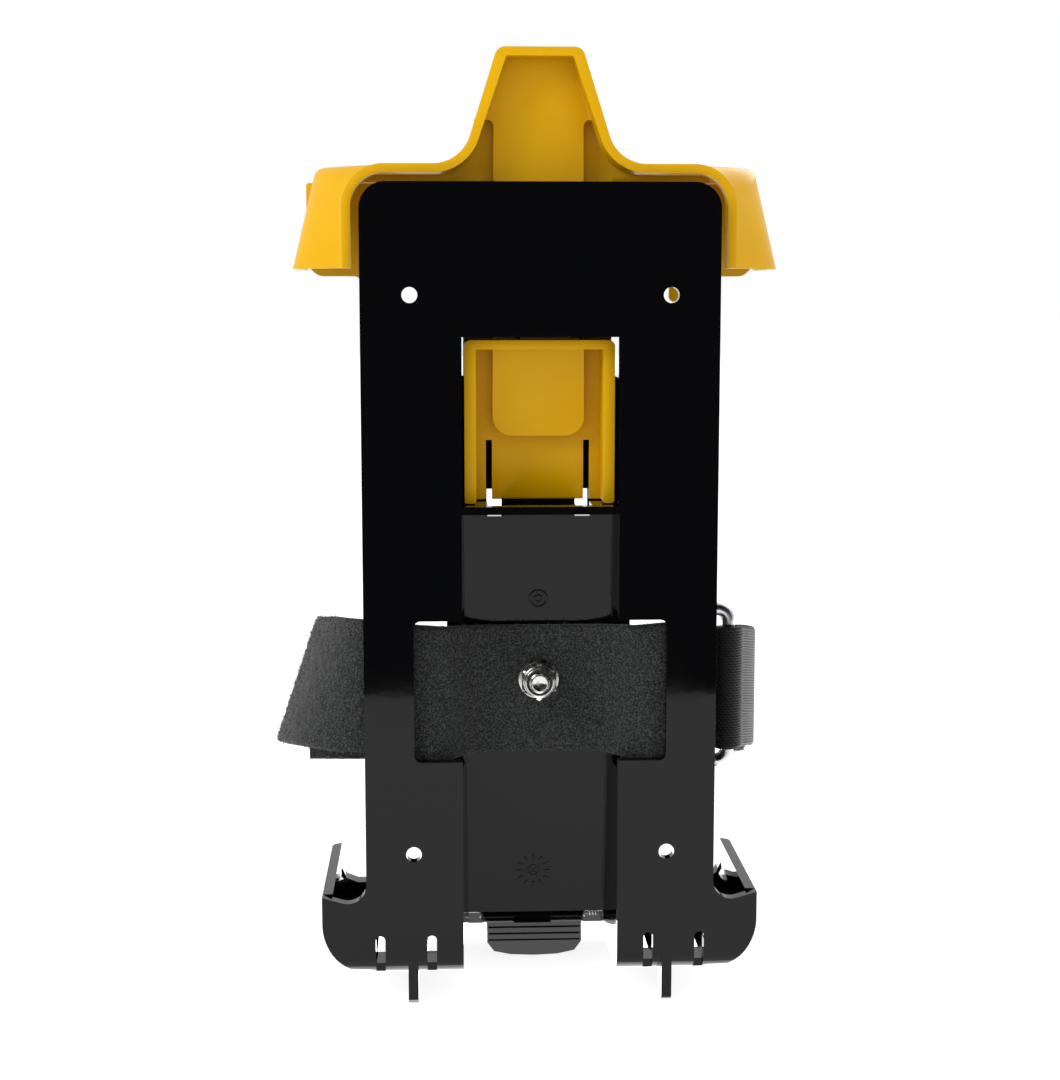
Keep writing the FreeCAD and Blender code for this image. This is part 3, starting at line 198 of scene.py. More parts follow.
def add_bump(tree, shader, height, depth, strength=1.0):
    bump = tree.nodes.new("ShaderNodeBump")
    bump.inputs["Distance"].default_value = depth * MM
    bump.inputs["Strength"].default_value = strength
    tree.links.new(height, bump.inputs["Height"])
    tree.links.new(bump.outputs["Normal"], shader.inputs["Normal"])


def black_abs():
    """High-gloss black plastic with a trace of orange peel and handling marks."""
    material, shader = new_material("gloss_black_abs", (0.002, 0.0021, 0.0024), 0.1)
    tree = material.node_tree
    shader.inputs["IOR"].default_value = 1.33
    marks = object_noise(tree, 90, 6)
    tree.links.new(ramp(tree, marks, 0.03, 0.075), shader.inputs["Roughness"])
    add_bump(tree, shader, object_noise(tree, 260, 2), 0.006)
    return material


def yellow_abs():
    """Satin yellow plastic, finely spark-eroded, a little paler where hands have polished it."""
    material, shader = new_material("satin_yellow_abs", (0.8, 0.46, 0.004), 0.4)
    tree = material.node_tree
    shader.inputs["IOR"].default_value = 1.22
    cloud = object_noise(tree, 35, 3)
    colour = mixed_colour(tree, ramp(tree, cloud, 0, 1), (0.58, 0.31, 0.0), (0.62, 0.335, 0.0))
    tree.links.new(colour, shader.inputs["Base Color"])
    tree.links.new(ramp(tree, object_noise(tree, 120, 5), 0.28, 0.38), shader.inputs["Roughness"])
    add_bump(tree, shader, object_noise(tree, 3500, 3), 0.02, 0.5)
    return material


def steel(name, colour, roughness, grain):
    """Metal with fine drawn grain; grain stretches the noise along Z."""
    material, shader = new_material(name, colour, roughness, 1.0)
    tree = material.node_tree
    streaks = object_noise(tree, 900, 4, (1, 1, grain))
    tree.links.new(ramp(tree, streaks, roughness - 0.08, roughness + 0.12), shader.inputs["Roughness"])
    add_bump(tree, shader, streaks, 0.01, 0.6)
    return material


def nylon():
    material, shader = new_material("nylon_blue_black", (0.012, 0.013, 0.02), 0.45)
    tree = material.node_tree
    add_bump(tree, shader, object_noise(tree, 1500, 3), 0.03)
    return material


def rubber(name, colour, pores):
    """Matt elastomer or foam with pores of a given scale."""
    material, shader = new_material(name, colour, 0.85)
    tree = material.node_tree
    cells = tree.nodes.new("ShaderNodeTexVoronoi")
    cells.inputs["Scale"].default_value = pores
    place = tree.nodes.new("ShaderNodeTexCoord")
    tree.links.new(place.outputs["Object"], cells.inputs["Vector"])
    brighter = tuple(min(1.0, 1.8 * part + 0.004) for part in colour)
    factor = ramp(tree, cells.outputs["Distance"], 0, 1, 0.1, 0.6)
    tree.links.new(mixed_colour(tree, factor, colour, brighter), shader.inputs["Base Color"])
    add_bump(tree, shader, cells.outputs["Distance"], 0.08, 0.6)
    return material


def loop_fabric():
    """Brushed nylon loops: almost black, with grey fibres that catch the light."""
    material, shader = new_material("loop_fabric", (0.008, 0.0085, 0.009), 0.95)
    tree = material.node_tree
    shader.inputs["Sheen Weight"].default_value = 0.12
    shader.inputs["Sheen Roughness"].default_value = 0.4
    fibres = object_noise(tree, 1700, 6)
    factor = ramp(tree, fibres, 0, 1, 0.45, 0.72)
    colour = mixed_colour(tree, factor, (0.004, 0.0045, 0.005), (0.05, 0.052, 0.053))
    tree.links.new(colour, shader.inputs["Base Color"])
    add_bump(tree, shader, object_noise(tree, 2400, 6), 0.35, 0.9)
    return material


def fibre():
    """Single nylon filaments, lighter than the ground of the fabric they stand on."""
    material, shader = new_material("loop_fibre", (0.03, 0.031, 0.032), 0.6)
    tree = material.node_tree
    tone = object_noise(tree, 5000, 2)
    colour = mixed_colour(tree, ramp(tree, tone, 0, 1), (0.008, 0.0085, 0.009), (0.06, 0.062, 0.064))
    tree.links.new(colour, shader.inputs["Base Color"])
    return material


def webbing():
    """Woven polyester webbing: the ribs are in the mesh, the slanting yarns on them are bump."""
    material, shader = new_material("strap_webbing", (0.012, 0.012, 0.013), 0.55)
    tree = material.node_tree
    shader.inputs["Specular IOR Level"].default_value = 0.25
    place = tree.nodes.new("ShaderNodeUVMap")
    mapping = tree.nodes.new("ShaderNodeMapping")
    mapping.inputs["Rotation"].default_value = (0, 0, math.radians(35))
    yarns = tree.nodes.new("ShaderNodeTexWave")
    yarns.inputs["Scale"].default_value = 330
    yarns.inputs["Distortion"].default_value = 1.0
    yarns.inputs["Detail Scale"].default_value = 900
    tree.links.new(place.outputs["UV"], mapping.inputs["Vector"])
    tree.links.new(mapping.outputs["Vector"], yarns.inputs["Vector"])
    colour = mixed_colour(tree, yarns.outputs["Fac"], (0.005, 0.005, 0.0055), (0.014, 0.014, 0.015))
    tree.links.new(colour, shader.inputs["Base Color"])
    add_bump(tree, shader, yarns.outputs["Fac"], 0.12, 0.8)
    return material


# ---------------------------------------------------------------- mesh tools

def finish_mesh(obj, sharp=40):
    """Smooth shading that breaks only at sharp edges."""
    mesh = obj.data
    mesh.shade_smooth()
    mesh.set_sharp_from_angle(angle=math.radians(sharp))


def new_object(name, bm, *materials):
    """An object from a bmesh in millimetres."""
    bmesh.ops.recalc_face_normals(bm, faces=bm.faces)
    bmesh.ops.scale(bm, vec=(MM, MM, MM), verts=bm.verts)
    mesh = bpy.data.meshes.new(name)
    bm.to_mesh(mesh)
    bm.free()
    obj = bpy.data.objects.new(name, mesh)
    scene.collection.objects.link(obj)
    for material in materials:
        mesh.materials.append(material)
    finish_mesh(obj)
    return obj


def apply_modifiers(obj):
    """Replace the mesh with what its modifiers make of it."""
    graph = bpy.context.evaluated_depsgraph_get()
    mesh = bpy.data.meshes.new_from_object(obj.evaluated_get(graph))
    obj.modifiers.clear()
    old = obj.data
    obj.data = mesh
    bpy.data.meshes.remove(old)


def combine(base, tool, operation):
    """Boolean of two closed objects; the tool is used up."""
    step = base.modifiers.new("combine", "BOOLEAN")
    step.operation = operation
    step.solver = "EXACT"
    step.object = tool
    apply_modifiers(base)
    bpy.data.objects.remove(tool)


def soften(obj, radius):
    """Round every sharp edge of the mesh a little, as a mould does."""
    weld = obj.modifiers.new("weld", "WELD")
    weld.merge_threshold = SAME_PLACE * MM
    bevel = obj.modifiers.new("soften", "BEVEL")
    bevel.width = radius * MM
    bevel.segments = EDGE_SEGMENTS
    bevel.limit_method = "ANGLE"
    bevel.angle_limit = math.radians(EDGE_ANGLE)
    normals = obj.modifiers.new("normals", "WEIGHTED_NORMAL")
    normals.keep_sharp = True
    apply_modifiers(obj)


def softened_copy(node, name, radius, material, body):
    """A copy of a CAD node with flat faces merged and its edges rounded, which stands for the node."""
    bm = bmesh.new()
    bm.from_mesh(nodes[node].data)
    bm.transform(nodes[node].matrix_world)
    bmesh.ops.remove_doubles(bm, verts=bm.verts, dist=SAME_PLACE * MM)
    bmesh.ops.dissolve_limit(bm, angle_limit=math.radians(0.6), verts=bm.verts, edges=bm.edges)
    bmesh.ops.scale(bm, vec=(1 / MM,) * 3, verts=bm.verts)
    obj = new_object(name, bm, material)
    soften(obj, radius)
    stand_for(obj, body, node)


def stand_for(obj, body, node):
    """Let a piece ride on a body in place of a CAD node, which is hidden."""
    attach(obj, body)
    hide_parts(node)


def corner_arc(before, corner, after, radius, steps):
    """Points of the arc that rounds a corner."""
    if radius <= 0:
        return [corner]
    back = (before - corner).normalized()
    ahead = (after - corner).normalized()
    half = back.angle(ahead) / 2
    middle = corner + (back + ahead).normalized() * (radius / math.sin(half))
    start = corner + back * (radius / math.tan(half)) - middle
    end = corner + ahead * (radius / math.tan(half)) - middle
    return [middle + (start * (1 - k / steps) + end * (k / steps)).normalized() * radius
            for k in range(steps + 1)]


def rounded(corners, steps=8):
    """A closed outline from (across, up, radius) corners."""
    points = [Vector(corner[:2]) for corner in corners]
    outline = []
    for index, (_, _, radius) in enumerate(corners):
        follow = points[(index + 1) % len(points)]
        outline += corner_arc(points[index - 1], points[index], follow, radius, steps)
    return outline


def mirrored(half):
    """A closed outline from its right half, listed from top to bottom."""
    return half + [(-across, up, radius) for across, up, radius in reversed(half)]


def slab(name, outline, near, far, *materials):
    """A flat piece with an XZ outline between two depths."""
    bm = bmesh.new()
    ends = [[bm.verts.new((point[0], depth, point[1])) for point in outline] for depth in (near, far)]
    bm.faces.new(ends[0])
    bm.faces.new(reversed(ends[1]))
    for index in range(len(outline)):
        follow = (index + 1) % len(outline)
        bm.faces.new((ends[0][index], ends[0][follow], ends[1][follow], ends[1][index]))
    return new_object(name, bm, *materials)


def block(name, low, high):
    corners = [(low[0], low[2]), (high[0], low[2]), (high[0], high[2]), (low[0], high[2])]
    return slab(name, [Vector(corner) for corner in corners], low[1], high[1])


def lathe(bm, rows, centre, segments=72, corner_reach=None):
    """Turn (radius, depth) rows round an axis along Y through centre.

    A negative radius is half the width across the flats of a hexagon, whose corners stop at corner_reach.
    """
    rings = []
    for radius, depth in rows:
        ring = []
        for step in range(segments):
            angle = TAU * step / segments
            reach = radius
            if radius < 0:
                reach = -radius / math.cos((angle + math.pi / 6) % (math.pi / 3) - math.pi / 6)
                if corner_reach:
                    reach = min(reach, corner_reach)
            ring.append(bm.verts.new((centre[0] + reach * math.cos(angle), depth,
                                      centre[1] + reach * math.sin(angle))))
        rings.append(ring)
    for first, second in zip(rings, rings[1:]):
        for step in range(segments):
            follow = (step + 1) % segments
            bm.faces.new((first[step], first[follow], second[follow], second[step]))
    return rings


# ---------------------------------------------------------------- the yellow head

HEAD_WALL = 2.5
HEAD_TOP = 117.8
head_low, head_high = box_mm("head_slider")
RIM_Z = 88.6
NECK_HALF = 56.1
LOBE_LOW = head_high.x
LOBE_HIGH = 64.6
FRONT_HALF = 69.4
HEAD_BACK = head_low.y
LIP_FRONT = head_high.y
TONGUE_TOP = head_high.z
WEB_BACK = 18.6
WEB_FRONT = 21.1


def cap_outline(flare, inset):
    """Half-open outline of the cap at one depth, from the left rim over the top to the right rim."""
    low = NECK_HALF + (LOBE_LOW - NECK_HALF) * flare - inset
    high = NECK_HALF + (LOBE_HIGH - NECK_HALF) * flare - inset
    top = HEAD_TOP - inset
    radius = max(12 + (3.0 - 12) * flare - inset, 1.5)
    foot = Vector((low, RIM_Z))
    arc = corner_arc(foot, Vector((high, top)), Vector((0, top)), radius, 14)
    side = [foot.lerp(arc[0], step / 8) for step in range(8)]
    crown = [arc[-1].lerp(Vector((0, top)), step / 16) for step in range(1, 17)]
    right = side + arc + crown
    return [Vector((-point.x, point.y)) for point in right[:-1]] + right[::-1]


def make_cap():
    """The shell over the collector's head: it flares from the back rim into two lobes."""
    flare_start, flare_end = 11.0, 30.0
    depths = [HEAD_BACK, flare_start]
    depths += [flare_start + (flare_end - flare_start) * k / 14 for k in range(1, 15)]
    depths += [34, 40, 46, 52, LIP_FRONT - 1.5]
    bm = bmesh.new()
    rings = []
    for depth in depths:
        share = min(max((depth - flare_start) / (flare_end - flare_start), 0), 1)
        flare = 0.7 * math.sin(share * math.pi / 2) + 0.3 * share * share * (3 - 2 * share)
        outer = cap_outline(flare, 0)
        inner = cap_outline(flare, HEAD_WALL)
        rings.append([bm.verts.new((p.x, depth, p.y)) for p in outer + inner[::-1]])
    count = len(rings[0])
    for first, second in zip(rings, rings[1:]):
        for index in range(count):
            follow = (index + 1) % count
            bm.faces.new((first[index], first[follow], second[follow], second[index]))
    half = count // 2
    for ring in (rings[0], rings[-1]):
        for index in range(half - 1):
            bm.faces.new((ring[index], ring[index + 1], ring[count - 2 - index], ring[count - 1 - index]))
    return new_object("head_shell", bm, YELLOW)


def front_lip():
    """The plate across the front, square at the top corners, with two ears beside an arch."""
    arch_half, arch_top, ear_low, ear_shoulder = 43.0, 104.0, 79.0, 86.8
    half = [(FRONT_HALF, 115.2, 1.0), (FRONT_HALF, 90.0, 2), (66, ear_shoulder, 4), (54, ear_shoulder, 2),
            (48.5, ear_low, 2), (arch_half, ear_low, 1.5), (arch_half, arch_top, 8)]
    return slab("front_lip", rounded(mirrored(half)), LIP_FRONT - HEAD_WALL, LIP_FRONT, YELLOW)


def tongue_outline(inset, foot_level):
    """The thumb tongue and its hollow blends into the cap."""
    foot, tip = 22.2 - inset, 11.95 - inset
    lean = (foot - tip) / (TONGUE_TOP - HEAD_TOP)
    level = HEAD_TOP - inset
    reach = foot + lean * inset + 12
    half = [(tip, TONGUE_TOP - inset, max(3 - inset, 0.8)), (foot + lean * inset, level, 11 + inset),
            (reach, level, 0), (reach, foot_level, 0)]
    return rounded(mirrored(half))


def make_head():
    head = make_cap()
    combine(head, front_lip(), "UNION")
    combine(head, slab("tongue", tongue_outline(0, HEAD_TOP - 1), HEAD_BACK, WEB_FRONT), "UNION")
    tray = slab("tray", tongue_outline(HEAD_WALL, HEAD_TOP - 8), HEAD_BACK - 1, WEB_BACK)
    combine(head, tray, "DIFFERENCE")
    slider_half, slider_inner, slider_back, slider_low = 21.65, 18.3, 6.5, head_low.z
    seat_low, seat_high, seat_round = 65.6, 68.2, 1.8
    frame_outline = rounded([(slider_half, seat_high, seat_round), (slider_half, slider_low, 0.8),
                             (slider_inner, slider_low, 0.8), (slider_inner, seat_low, 0.4),
                             (-slider_inner, seat_low, 0.4), (-slider_inner, slider_low, 0.8),
                             (-slider_half, slider_low, 0.8), (-slider_half, seat_high, seat_round)])
    combine(head, slab("slider_frame", frame_outline, slider_back, WEB_FRONT), "UNION")
    combine(head, block("web", (-slider_half + 0.01, WEB_BACK, slider_low + 0.01),
                        (slider_half - 0.01, WEB_FRONT - 0.01, HEAD_TOP - 1.5)), "UNION")
    rib_half, rib_low = 50.0, 113.2
    combine(head, block("rib", (-rib_half, WEB_BACK + 0.02, rib_low),
                        (rib_half, WEB_FRONT - 0.02, HEAD_TOP - 1.2)), "UNION")
    panel = mirrored([(9.2, TONGUE_TOP - 2.0, 0), (18.4, 130.6, 0), (12.9, 130.6, 1.8), (13.4, 40.3, 5.5)])
    panel_back = 14.5
    combine(head, slab("panel", rounded(panel), panel_back, WEB_BACK + 1), "UNION")
    slit_near, slit_far, slit_top = 13.45, 15.25, 38.75
    for side in (-1, 1):
        edges = sorted((side * slit_near, side * slit_far))
        slit = block("slit", (edges[0], WEB_BACK - 1, slider_low - 1), (edges[1], WEB_FRONT + 1, slit_top))
        combine(head, slit, "DIFFERENCE")
    groove = mirrored([(7.5, 142, 2), (10.5, 136, 3), (10.5, 46.3, 4)])
    groove_back = 17.0
    combine(head, slab("groove", rounded(groove), groove_back, WEB_FRONT + 1), "DIFFERENCE")
    head.data.materials.clear()
    head.data.materials.append(YELLOW)
    soften(head, 0.4)
    finish_mesh(head, 50)
    stand_for(head, "head", "head_slider")


# ---------------------------------------------------------------- the strap

def smooth_rows(rows, per_run=12):
    """Catmull-Rom curve through rows of numbers."""
    rows = [Vector(row) for row in rows]
    rows = [2 * rows[0] - rows[1]] + rows + [2 * rows[-1] - rows[-2]]
    made = []
    for a, b, c, d in zip(rows, rows[1:], rows[2:], rows[3:]):
        for step in range(per_run):
            t = step / per_run
            made.append(0.5 * (2 * b + (c - a) * t + (2 * a - 5 * b + 4 * c - d) * t * t
                               + (3 * b - a - 3 * c + d) * t ** 3))
    return made + [rows[-2]]


def even_rows(rows, spacing):
    """The same curve at even steps of its plan length."""
    lengths = [0.0]
    for first, second in zip(rows, rows[1:]):
        lengths.append(lengths[-1] + (second.xy - first.xy).length)
    count = max(2, round(lengths[-1] / spacing))
    made = []
    index = 0
    for step in range(count + 1):
        target = lengths[-1] * step / count
        while index < len(rows) - 2 and lengths[index + 1] < target:
            index += 1
        span = lengths[index + 1] - lengths[index]
        made.append(rows[index].lerp(rows[index + 1], (target - lengths[index]) / span))
    return made


def half_circle(centre, radius, start, end, middle):
    """Rows of (x, y, middle height, lean, spread) round a bar."""
    rows = []
    count = 8
    for step in range(count + 1):
        angle = math.radians(start + (end - start) * step / count)
        across = centre[0] + radius * math.cos(angle)
        rows.append((across, centre[1] + radius * math.sin(angle), middle, 0, 0))
    return rows


def ribbon(name, rows, wide, thick, outer_sign, outer_relief, inner_relief, materials,
           spacing=0.6, across=0.6):
    """A strap on edge along rows of (x, y, middle height, lean, spread); relief shapes each face."""
    path = even_rows(smooth_rows(rows), spacing)
    columns = round(wide / across)
    bm = bmesh.new()
    layer = bm.loops.layers.uv.new("weave")
    grids = []
    for face_sign, relief in ((1, outer_relief), (-1, inner_relief)):
        grid = []
        for index, row in enumerate(path):
            ahead = (path[min(index + 1, len(path) - 1)].xy - path[max(index - 1, 0)].xy).normalized()
            outward = Vector((-ahead.y, ahead.x)) * outer_sign
            line = []
            for column in range(columns + 1):
                share = column / columns
                edge = min(share, 1 - share) * wide
                pinch = 1 - 0.45 * max(0.0, 1 - edge / 1.0) ** 2
                travel = index * spacing
                lift = face_sign * (thick / 2 * pinch + relief(travel, share * wide))
                shift = outward * (lift + row[3] * (share - 0.5))
                height = row[2] + (wide + row[4]) * (0.5 - share)
                line.append(bm.verts.new((row[0] + shift.x, row[1] + shift.y, height)))
            grid.append(line)
        grids.append(grid)

    def face(corners, uv, material):
        made = bm.faces.new(corners)
        made.material_index = material
        for loop, spot in zip(made.loops, uv):
            loop[layer].uv = spot

    for side, grid in enumerate(grids):
        for index in range(len(path) - 1):
            for column in range(columns):
                corners = (grid[index][column], grid[index + 1][column], grid[index + 1][column + 1],
                           grid[index][column + 1])
                uv = [((index + i) * spacing * MM, (column + j) * across * MM)
                      for i, j in ((0, 0), (1, 0), (1, 1), (0, 1))]
                face(corners, uv, side)
    outer, inner = grids
    for index in range(len(path) - 1):
        for column in (0, columns):
            corners = (outer[index][column], outer[index + 1][column], inner[index + 1][column],
                       inner[index][column])
            face(corners, [(0, 0)] * 4, 0)
    for index in (0, len(path) - 1):
        for column in range(columns):
            corners = (outer[index][column], outer[index][column + 1], inner[index][column + 1],
                       inner[index][column])
            face(corners, [(0, 0)] * 4, 0)
    return new_object(name, bm, *materials)


def pile(name, cloth, count, material):
    """Short curled fibres on the loop face of a strap, which break up its outline."""
    faces = [face for face in cloth.data.polygons if face.material_index == 0]
    draw = random.Random(7)
    bm = bmesh.new()
    for _ in range(count):
        face = draw.choice(faces)
        base = cloth.data.vertices[face.vertices[0]].co / MM
        along = Vector([draw.gauss(0, 1) for _ in range(3)])
        along = (along - face.normal * along.dot(face.normal)).normalized()
        reach, rise, wide = draw.uniform(0.5, 1.1), draw.uniform(0.25, 0.6), draw.uniform(0.04, 0.075)
        side = face.normal.cross(along) * wide
        rows = []
        for step in range(5):
            turn = math.pi * step / 4
            spot = base + along * reach * (0.5 - 0.5 * math.cos(turn)) + face.normal * rise * math.sin(turn)
            spot += side * draw.uniform(-2.5, 2.5)
            rows.append((bm.verts.new(spot - side), bm.verts.new(spot + side)))
        for first, second in zip(rows, rows[1:]):
            bm.faces.new((first[0], first[1], second[1], second[0]))
    fibres = new_object(name, bm, material)
    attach(fibres, "cradle")


def fuzz(travel, height):
    """Uneven pile of the loop face."""
    fine = noise.noise(Vector((travel * 1.6, height * 1.6, 3.0)))
    coarse = noise.noise(Vector((travel * 0.35, height * 0.35, 9.0)))
    return 0.28 * fine + 0.2 * coarse + 0.12


def ribs(_travel, height):
    """Raised warp ribs of the webbing."""
    return 0.1 * math.cos(TAU * height / 0.8) - 0.05


def backing(travel, height):
    """Slight unevenness of a strap's plain face."""
    return 0.05 * noise.noise(Vector((travel * 0.8, height * 0.8, 5.0)))


def make_straps():
    band_half, tail_half = 1.1, 0.9
    ring_depth, ring_in, ring_out = 17.0, 45.0, 57.0
    level = -34.6
    wrap = 4.55 - band_half
    band = [(ring_in + wrap, 11.5, level, 0, 0)]
    band += half_circle((ring_in, ring_depth), wrap, 0, 180, level)
    band += [(41.6, 12, level + 0.4, 0, 0), (40.6, 7.0, level + 0.6, 0, 1.4),
             (37.2, 5.2, level + 0.6, 0, 2.6),
             (32, 5.1, level + 0.2, 0, 2.6), (27, 6.8, level, 0, 1.8), (21, 11.8, level, 0, 0.6)]
    band += [(across, 14.0, level, 0, 0) for across in (14, 7, 0, -7, -14)]
    band += [(-21, 11.8, level, 0, 0.6), (-27, 6.8, level, 0, 1.8), (-32, 5.1, level + 0.2, 0, 2.6),
             (-39, 5.0, level + 1.0, 0, 2.2), (-50, 5.6, level + 2.6, 3, 0.8), (-58, 10, level + 2.4, 7, 0.4),
             (-65, 19, level + 1.5, 11, 0), (-70.5, 32, level - 0.6, 13, 0), (-72.5, 44, level - 3, 12.5, 0),
             (-70.5, 56, level - 7, 9, 0), (-63, 64.6, level - 11, 4, 0), (-52, 66.6, level - 13.6, 1, 0),
             (-35, 66.4, level - 15, 0, 0), (-12, 66.0, level - 15.3, 0, 0), (12, 66.0, level - 14.6, 0, 0),
             (36, 66.2, level - 13, 0, 0), (54, 65.5, level - 11.5, 0, 0), (63, 60, level - 10.4, 0, 0),
             (66.0, 50, level - 9.2, 0, 0), (64.2, 38, level - 6.8, 0, 0), (60.5, 29, level - 4.6, 0, 0),
             (56.4, 22.6, level - 2.2, 0, 0)]
    band_wide, tail_wide, fibre_count = 38, 37, 14000
    strap = ribbon("strap_band_cloth", band, band_wide, 2 * band_half, 1, fuzz, backing, (LOOP, WEBBING))
    stand_for(strap, "cradle", "strap_band")
    pile("strap_band_pile", strap, fibre_count, FIBRE)
    wrap = 4.45 - tail_half
    tail = [(ring_out - wrap, 20.4, level - 1.4, 0, 0)]
    tail += half_circle((ring_out, ring_depth), wrap, 180, 360, level - 0.8)
    tail += [(61.4, 20.5, level - 1.6, 0, 0), (64.6, 28, level - 3.2, 0, 0), (67.8, 38, level - 5.4, 0, 0),
             (69.2, 50, level - 7.0, 0, 0), (67.0, 62, level - 8.6, 0, 0), (57, 69.0, level - 10.5, 0, 0),
             (38, 69.5, level - 12.4, 0, 0), (12, 69.3, level - 14.2, 0, 0), (-12, 69.3, level - 15.6, 0, 0),
             (-36, 69.6, level - 16.4, 0, 0), (-52, 69.8, level - 16.6, 0, 0),
             (-72, 70.0, level - 16.4, 0, 0)]
    tail_cloth = ribbon("strap_tail_cloth", tail, tail_wide, 2 * tail_half, -1, ribs, fuzz, (WEBBING, LOOP),
                        0.8, 0.16)
    stand_for(tail_cloth, "cradle", "strap_tail")


# ---------------------------------------------------------------- fasteners

def make_nut():
    """Lock nut: chamfered hexagon, crimped rim and a nylon collar."""
    low, high = box_mm("lock_nut")
    middle = ((low.x + high.x) / 2, (low.z + high.z) / 2)
    back, front = low.y, high.y
    face = back + 1.4
    flats, corner_reach = 5.0, 5.72
    bm = bmesh.new()
    rows = [(3.05, front), (3.4, front), (4.75, front), (-flats, front - 0.45), (-flats, face + 0.75),
            (4.9, face + 0.25), (4.75, face), (4.45, face - 0.15), (4.42, back + 0.5), (4.2, back + 0.12),
            (3.9, back), (3.72, back + 0.15), (3.66, back + 0.5), (3.66, face + 0.4), (3.05, face + 0.5)]
    rings = lathe(bm, rows, middle, 96, corner_reach)
    bridge_ends(bm, rings)
    nut = new_object("lock_nut_turned", bm, STAINLESS)
    stand_for(nut, "cradle", "lock_nut")
    bm = bmesh.new()
    rows = [(3.0, back + 0.42), (3.62, back + 0.34), (3.64, back + 0.6), (3.64, face + 0.3),
            (3.0, face + 0.3)]
    bridge_ends(bm, lathe(bm, rows, middle, 72))
    collar = new_object("nut_collar_turned", bm, NYLON)
    stand_for(collar, "cradle", "nut_collar")


def bridge_ends(bm, rings):
    """Close a turned ring by joining its last row to its first."""
    first, last = rings[-1], rings[0]
    count = len(first)
    for step in range(count):
        follow = (step + 1) % count
        bm.faces.new((first[step], first[follow], last[follow], last[step]))


def cap_ring(bm, ring, reverse=False):
    """Close the end of a turned piece with one face."""
    bm.faces.new(ring[::-1] if reverse else ring)


def make_bolt():
    """Button-head bolt: the shank's threaded end shows in the nut, the domed head has a hex socket."""
    low, high = box_mm("strap_bolt")
    middle = ((low.x + high.x) / 2, (low.z + high.z) / 2)
    end, top = low.y, high.y
    seat = top - 3.2
    rows = [(0.9, end + 0.55), (1.1, end + 0.5), (1.9, end + 0.1), (2.15, end), (2.45, end + 0.05)]
    pitch = 0.5
    depth = end + 0.3
    while depth < end + 7:
        rows += [(2.62, depth), (2.95, depth + pitch / 2)]
        depth += pitch
    rows += [(2.9, depth), (2.95, seat - 0.05), (5.7, seat), (6.0, seat + 0.35)]
    dome = [(6.0 * math.cos(a), seat + 0.6 + 2.6 * math.sin(a)) for a in
            [math.radians(step * 7) for step in range(10)]]
    rows += dome
    socket = [(-2.1, top - 0.12), (-2.0, top - 0.3), (-2.0, top - 1.9)]
    bm = bmesh.new()
    rings = lathe(bm, rows + socket, middle, 72)
    cap_ring(bm, rings[0], True)
    cap_ring(bm, rings[-1])
    bolt = new_object("strap_bolt_turned", bm, STAINLESS)
    stand_for(bolt, "cradle", "strap_bolt")


def make_washer():
    """M6 washer with rolled edges."""
    low, high = box_mm("nut_washer")
    middle = ((low.x + high.x) / 2, (low.z + high.z) / 2)
    rows = [(3.25, low.y + 0.1), (3.4, low.y), (5.6, low.y), (5.9, low.y + 0.1), (6.0, low.y + 0.35),
            (6.0, high.y - 0.1), (5.9, high.y), (3.3, high.y), (3.25, high.y - 0.1)]
    bm = bmesh.new()
    bridge_ends(bm, lathe(bm, rows, middle, 96))
    washer = new_object("nut_washer_turned", bm, STAINLESS)
    stand_for(washer, "cradle", "nut_washer")


def make_cover_screws():
    """Pan heads with a cross recess; the shanks stay simple because the body hides them."""
    low, high = box_mm("cover_screws")
    cover = box_mm("front_cover")[1].y
    reach = high.x - 2.75
    levels = (low.z + 2.75, high.z - 2.75)
    made = None
    for across in (-reach, reach):
        for level in levels:
            rows = [(1.15, low.y + 0.4), (1.2, low.y + 0.8), (1.2, cover), (2.6, cover), (2.75, cover + 0.25),
                    (2.7, cover + 0.8), (2.35, cover + 1.25), (1.6, cover + 1.5), (0.6, high.y)]
            bm = bmesh.new()
            rings = lathe(bm, rows, (across, level), 48)
            cap_ring(bm, rings[0], True)
            cap_ring(bm, rings[-1])
            screw = new_object("cover_screws_turned", bm, ZINC)
            for half_x, half_z in ((1.5, 0.28), (0.28, 1.5)):
                slot = block("recess", (across - half_x, high.y - 0.9, level - half_z),
                             (across + half_x, high.y + 1, level + half_z))
                combine(screw, slot, "DIFFERENCE")
            if made:
                combine(made, screw, "UNION")
            else:
                made = screw
    made.data.materials.clear()
    made.data.materials.append(ZINC)
    finish_mesh(made)
    stand_for(made, "cradle", "cover_screws")


# ---------------------------------------------------------------- pads

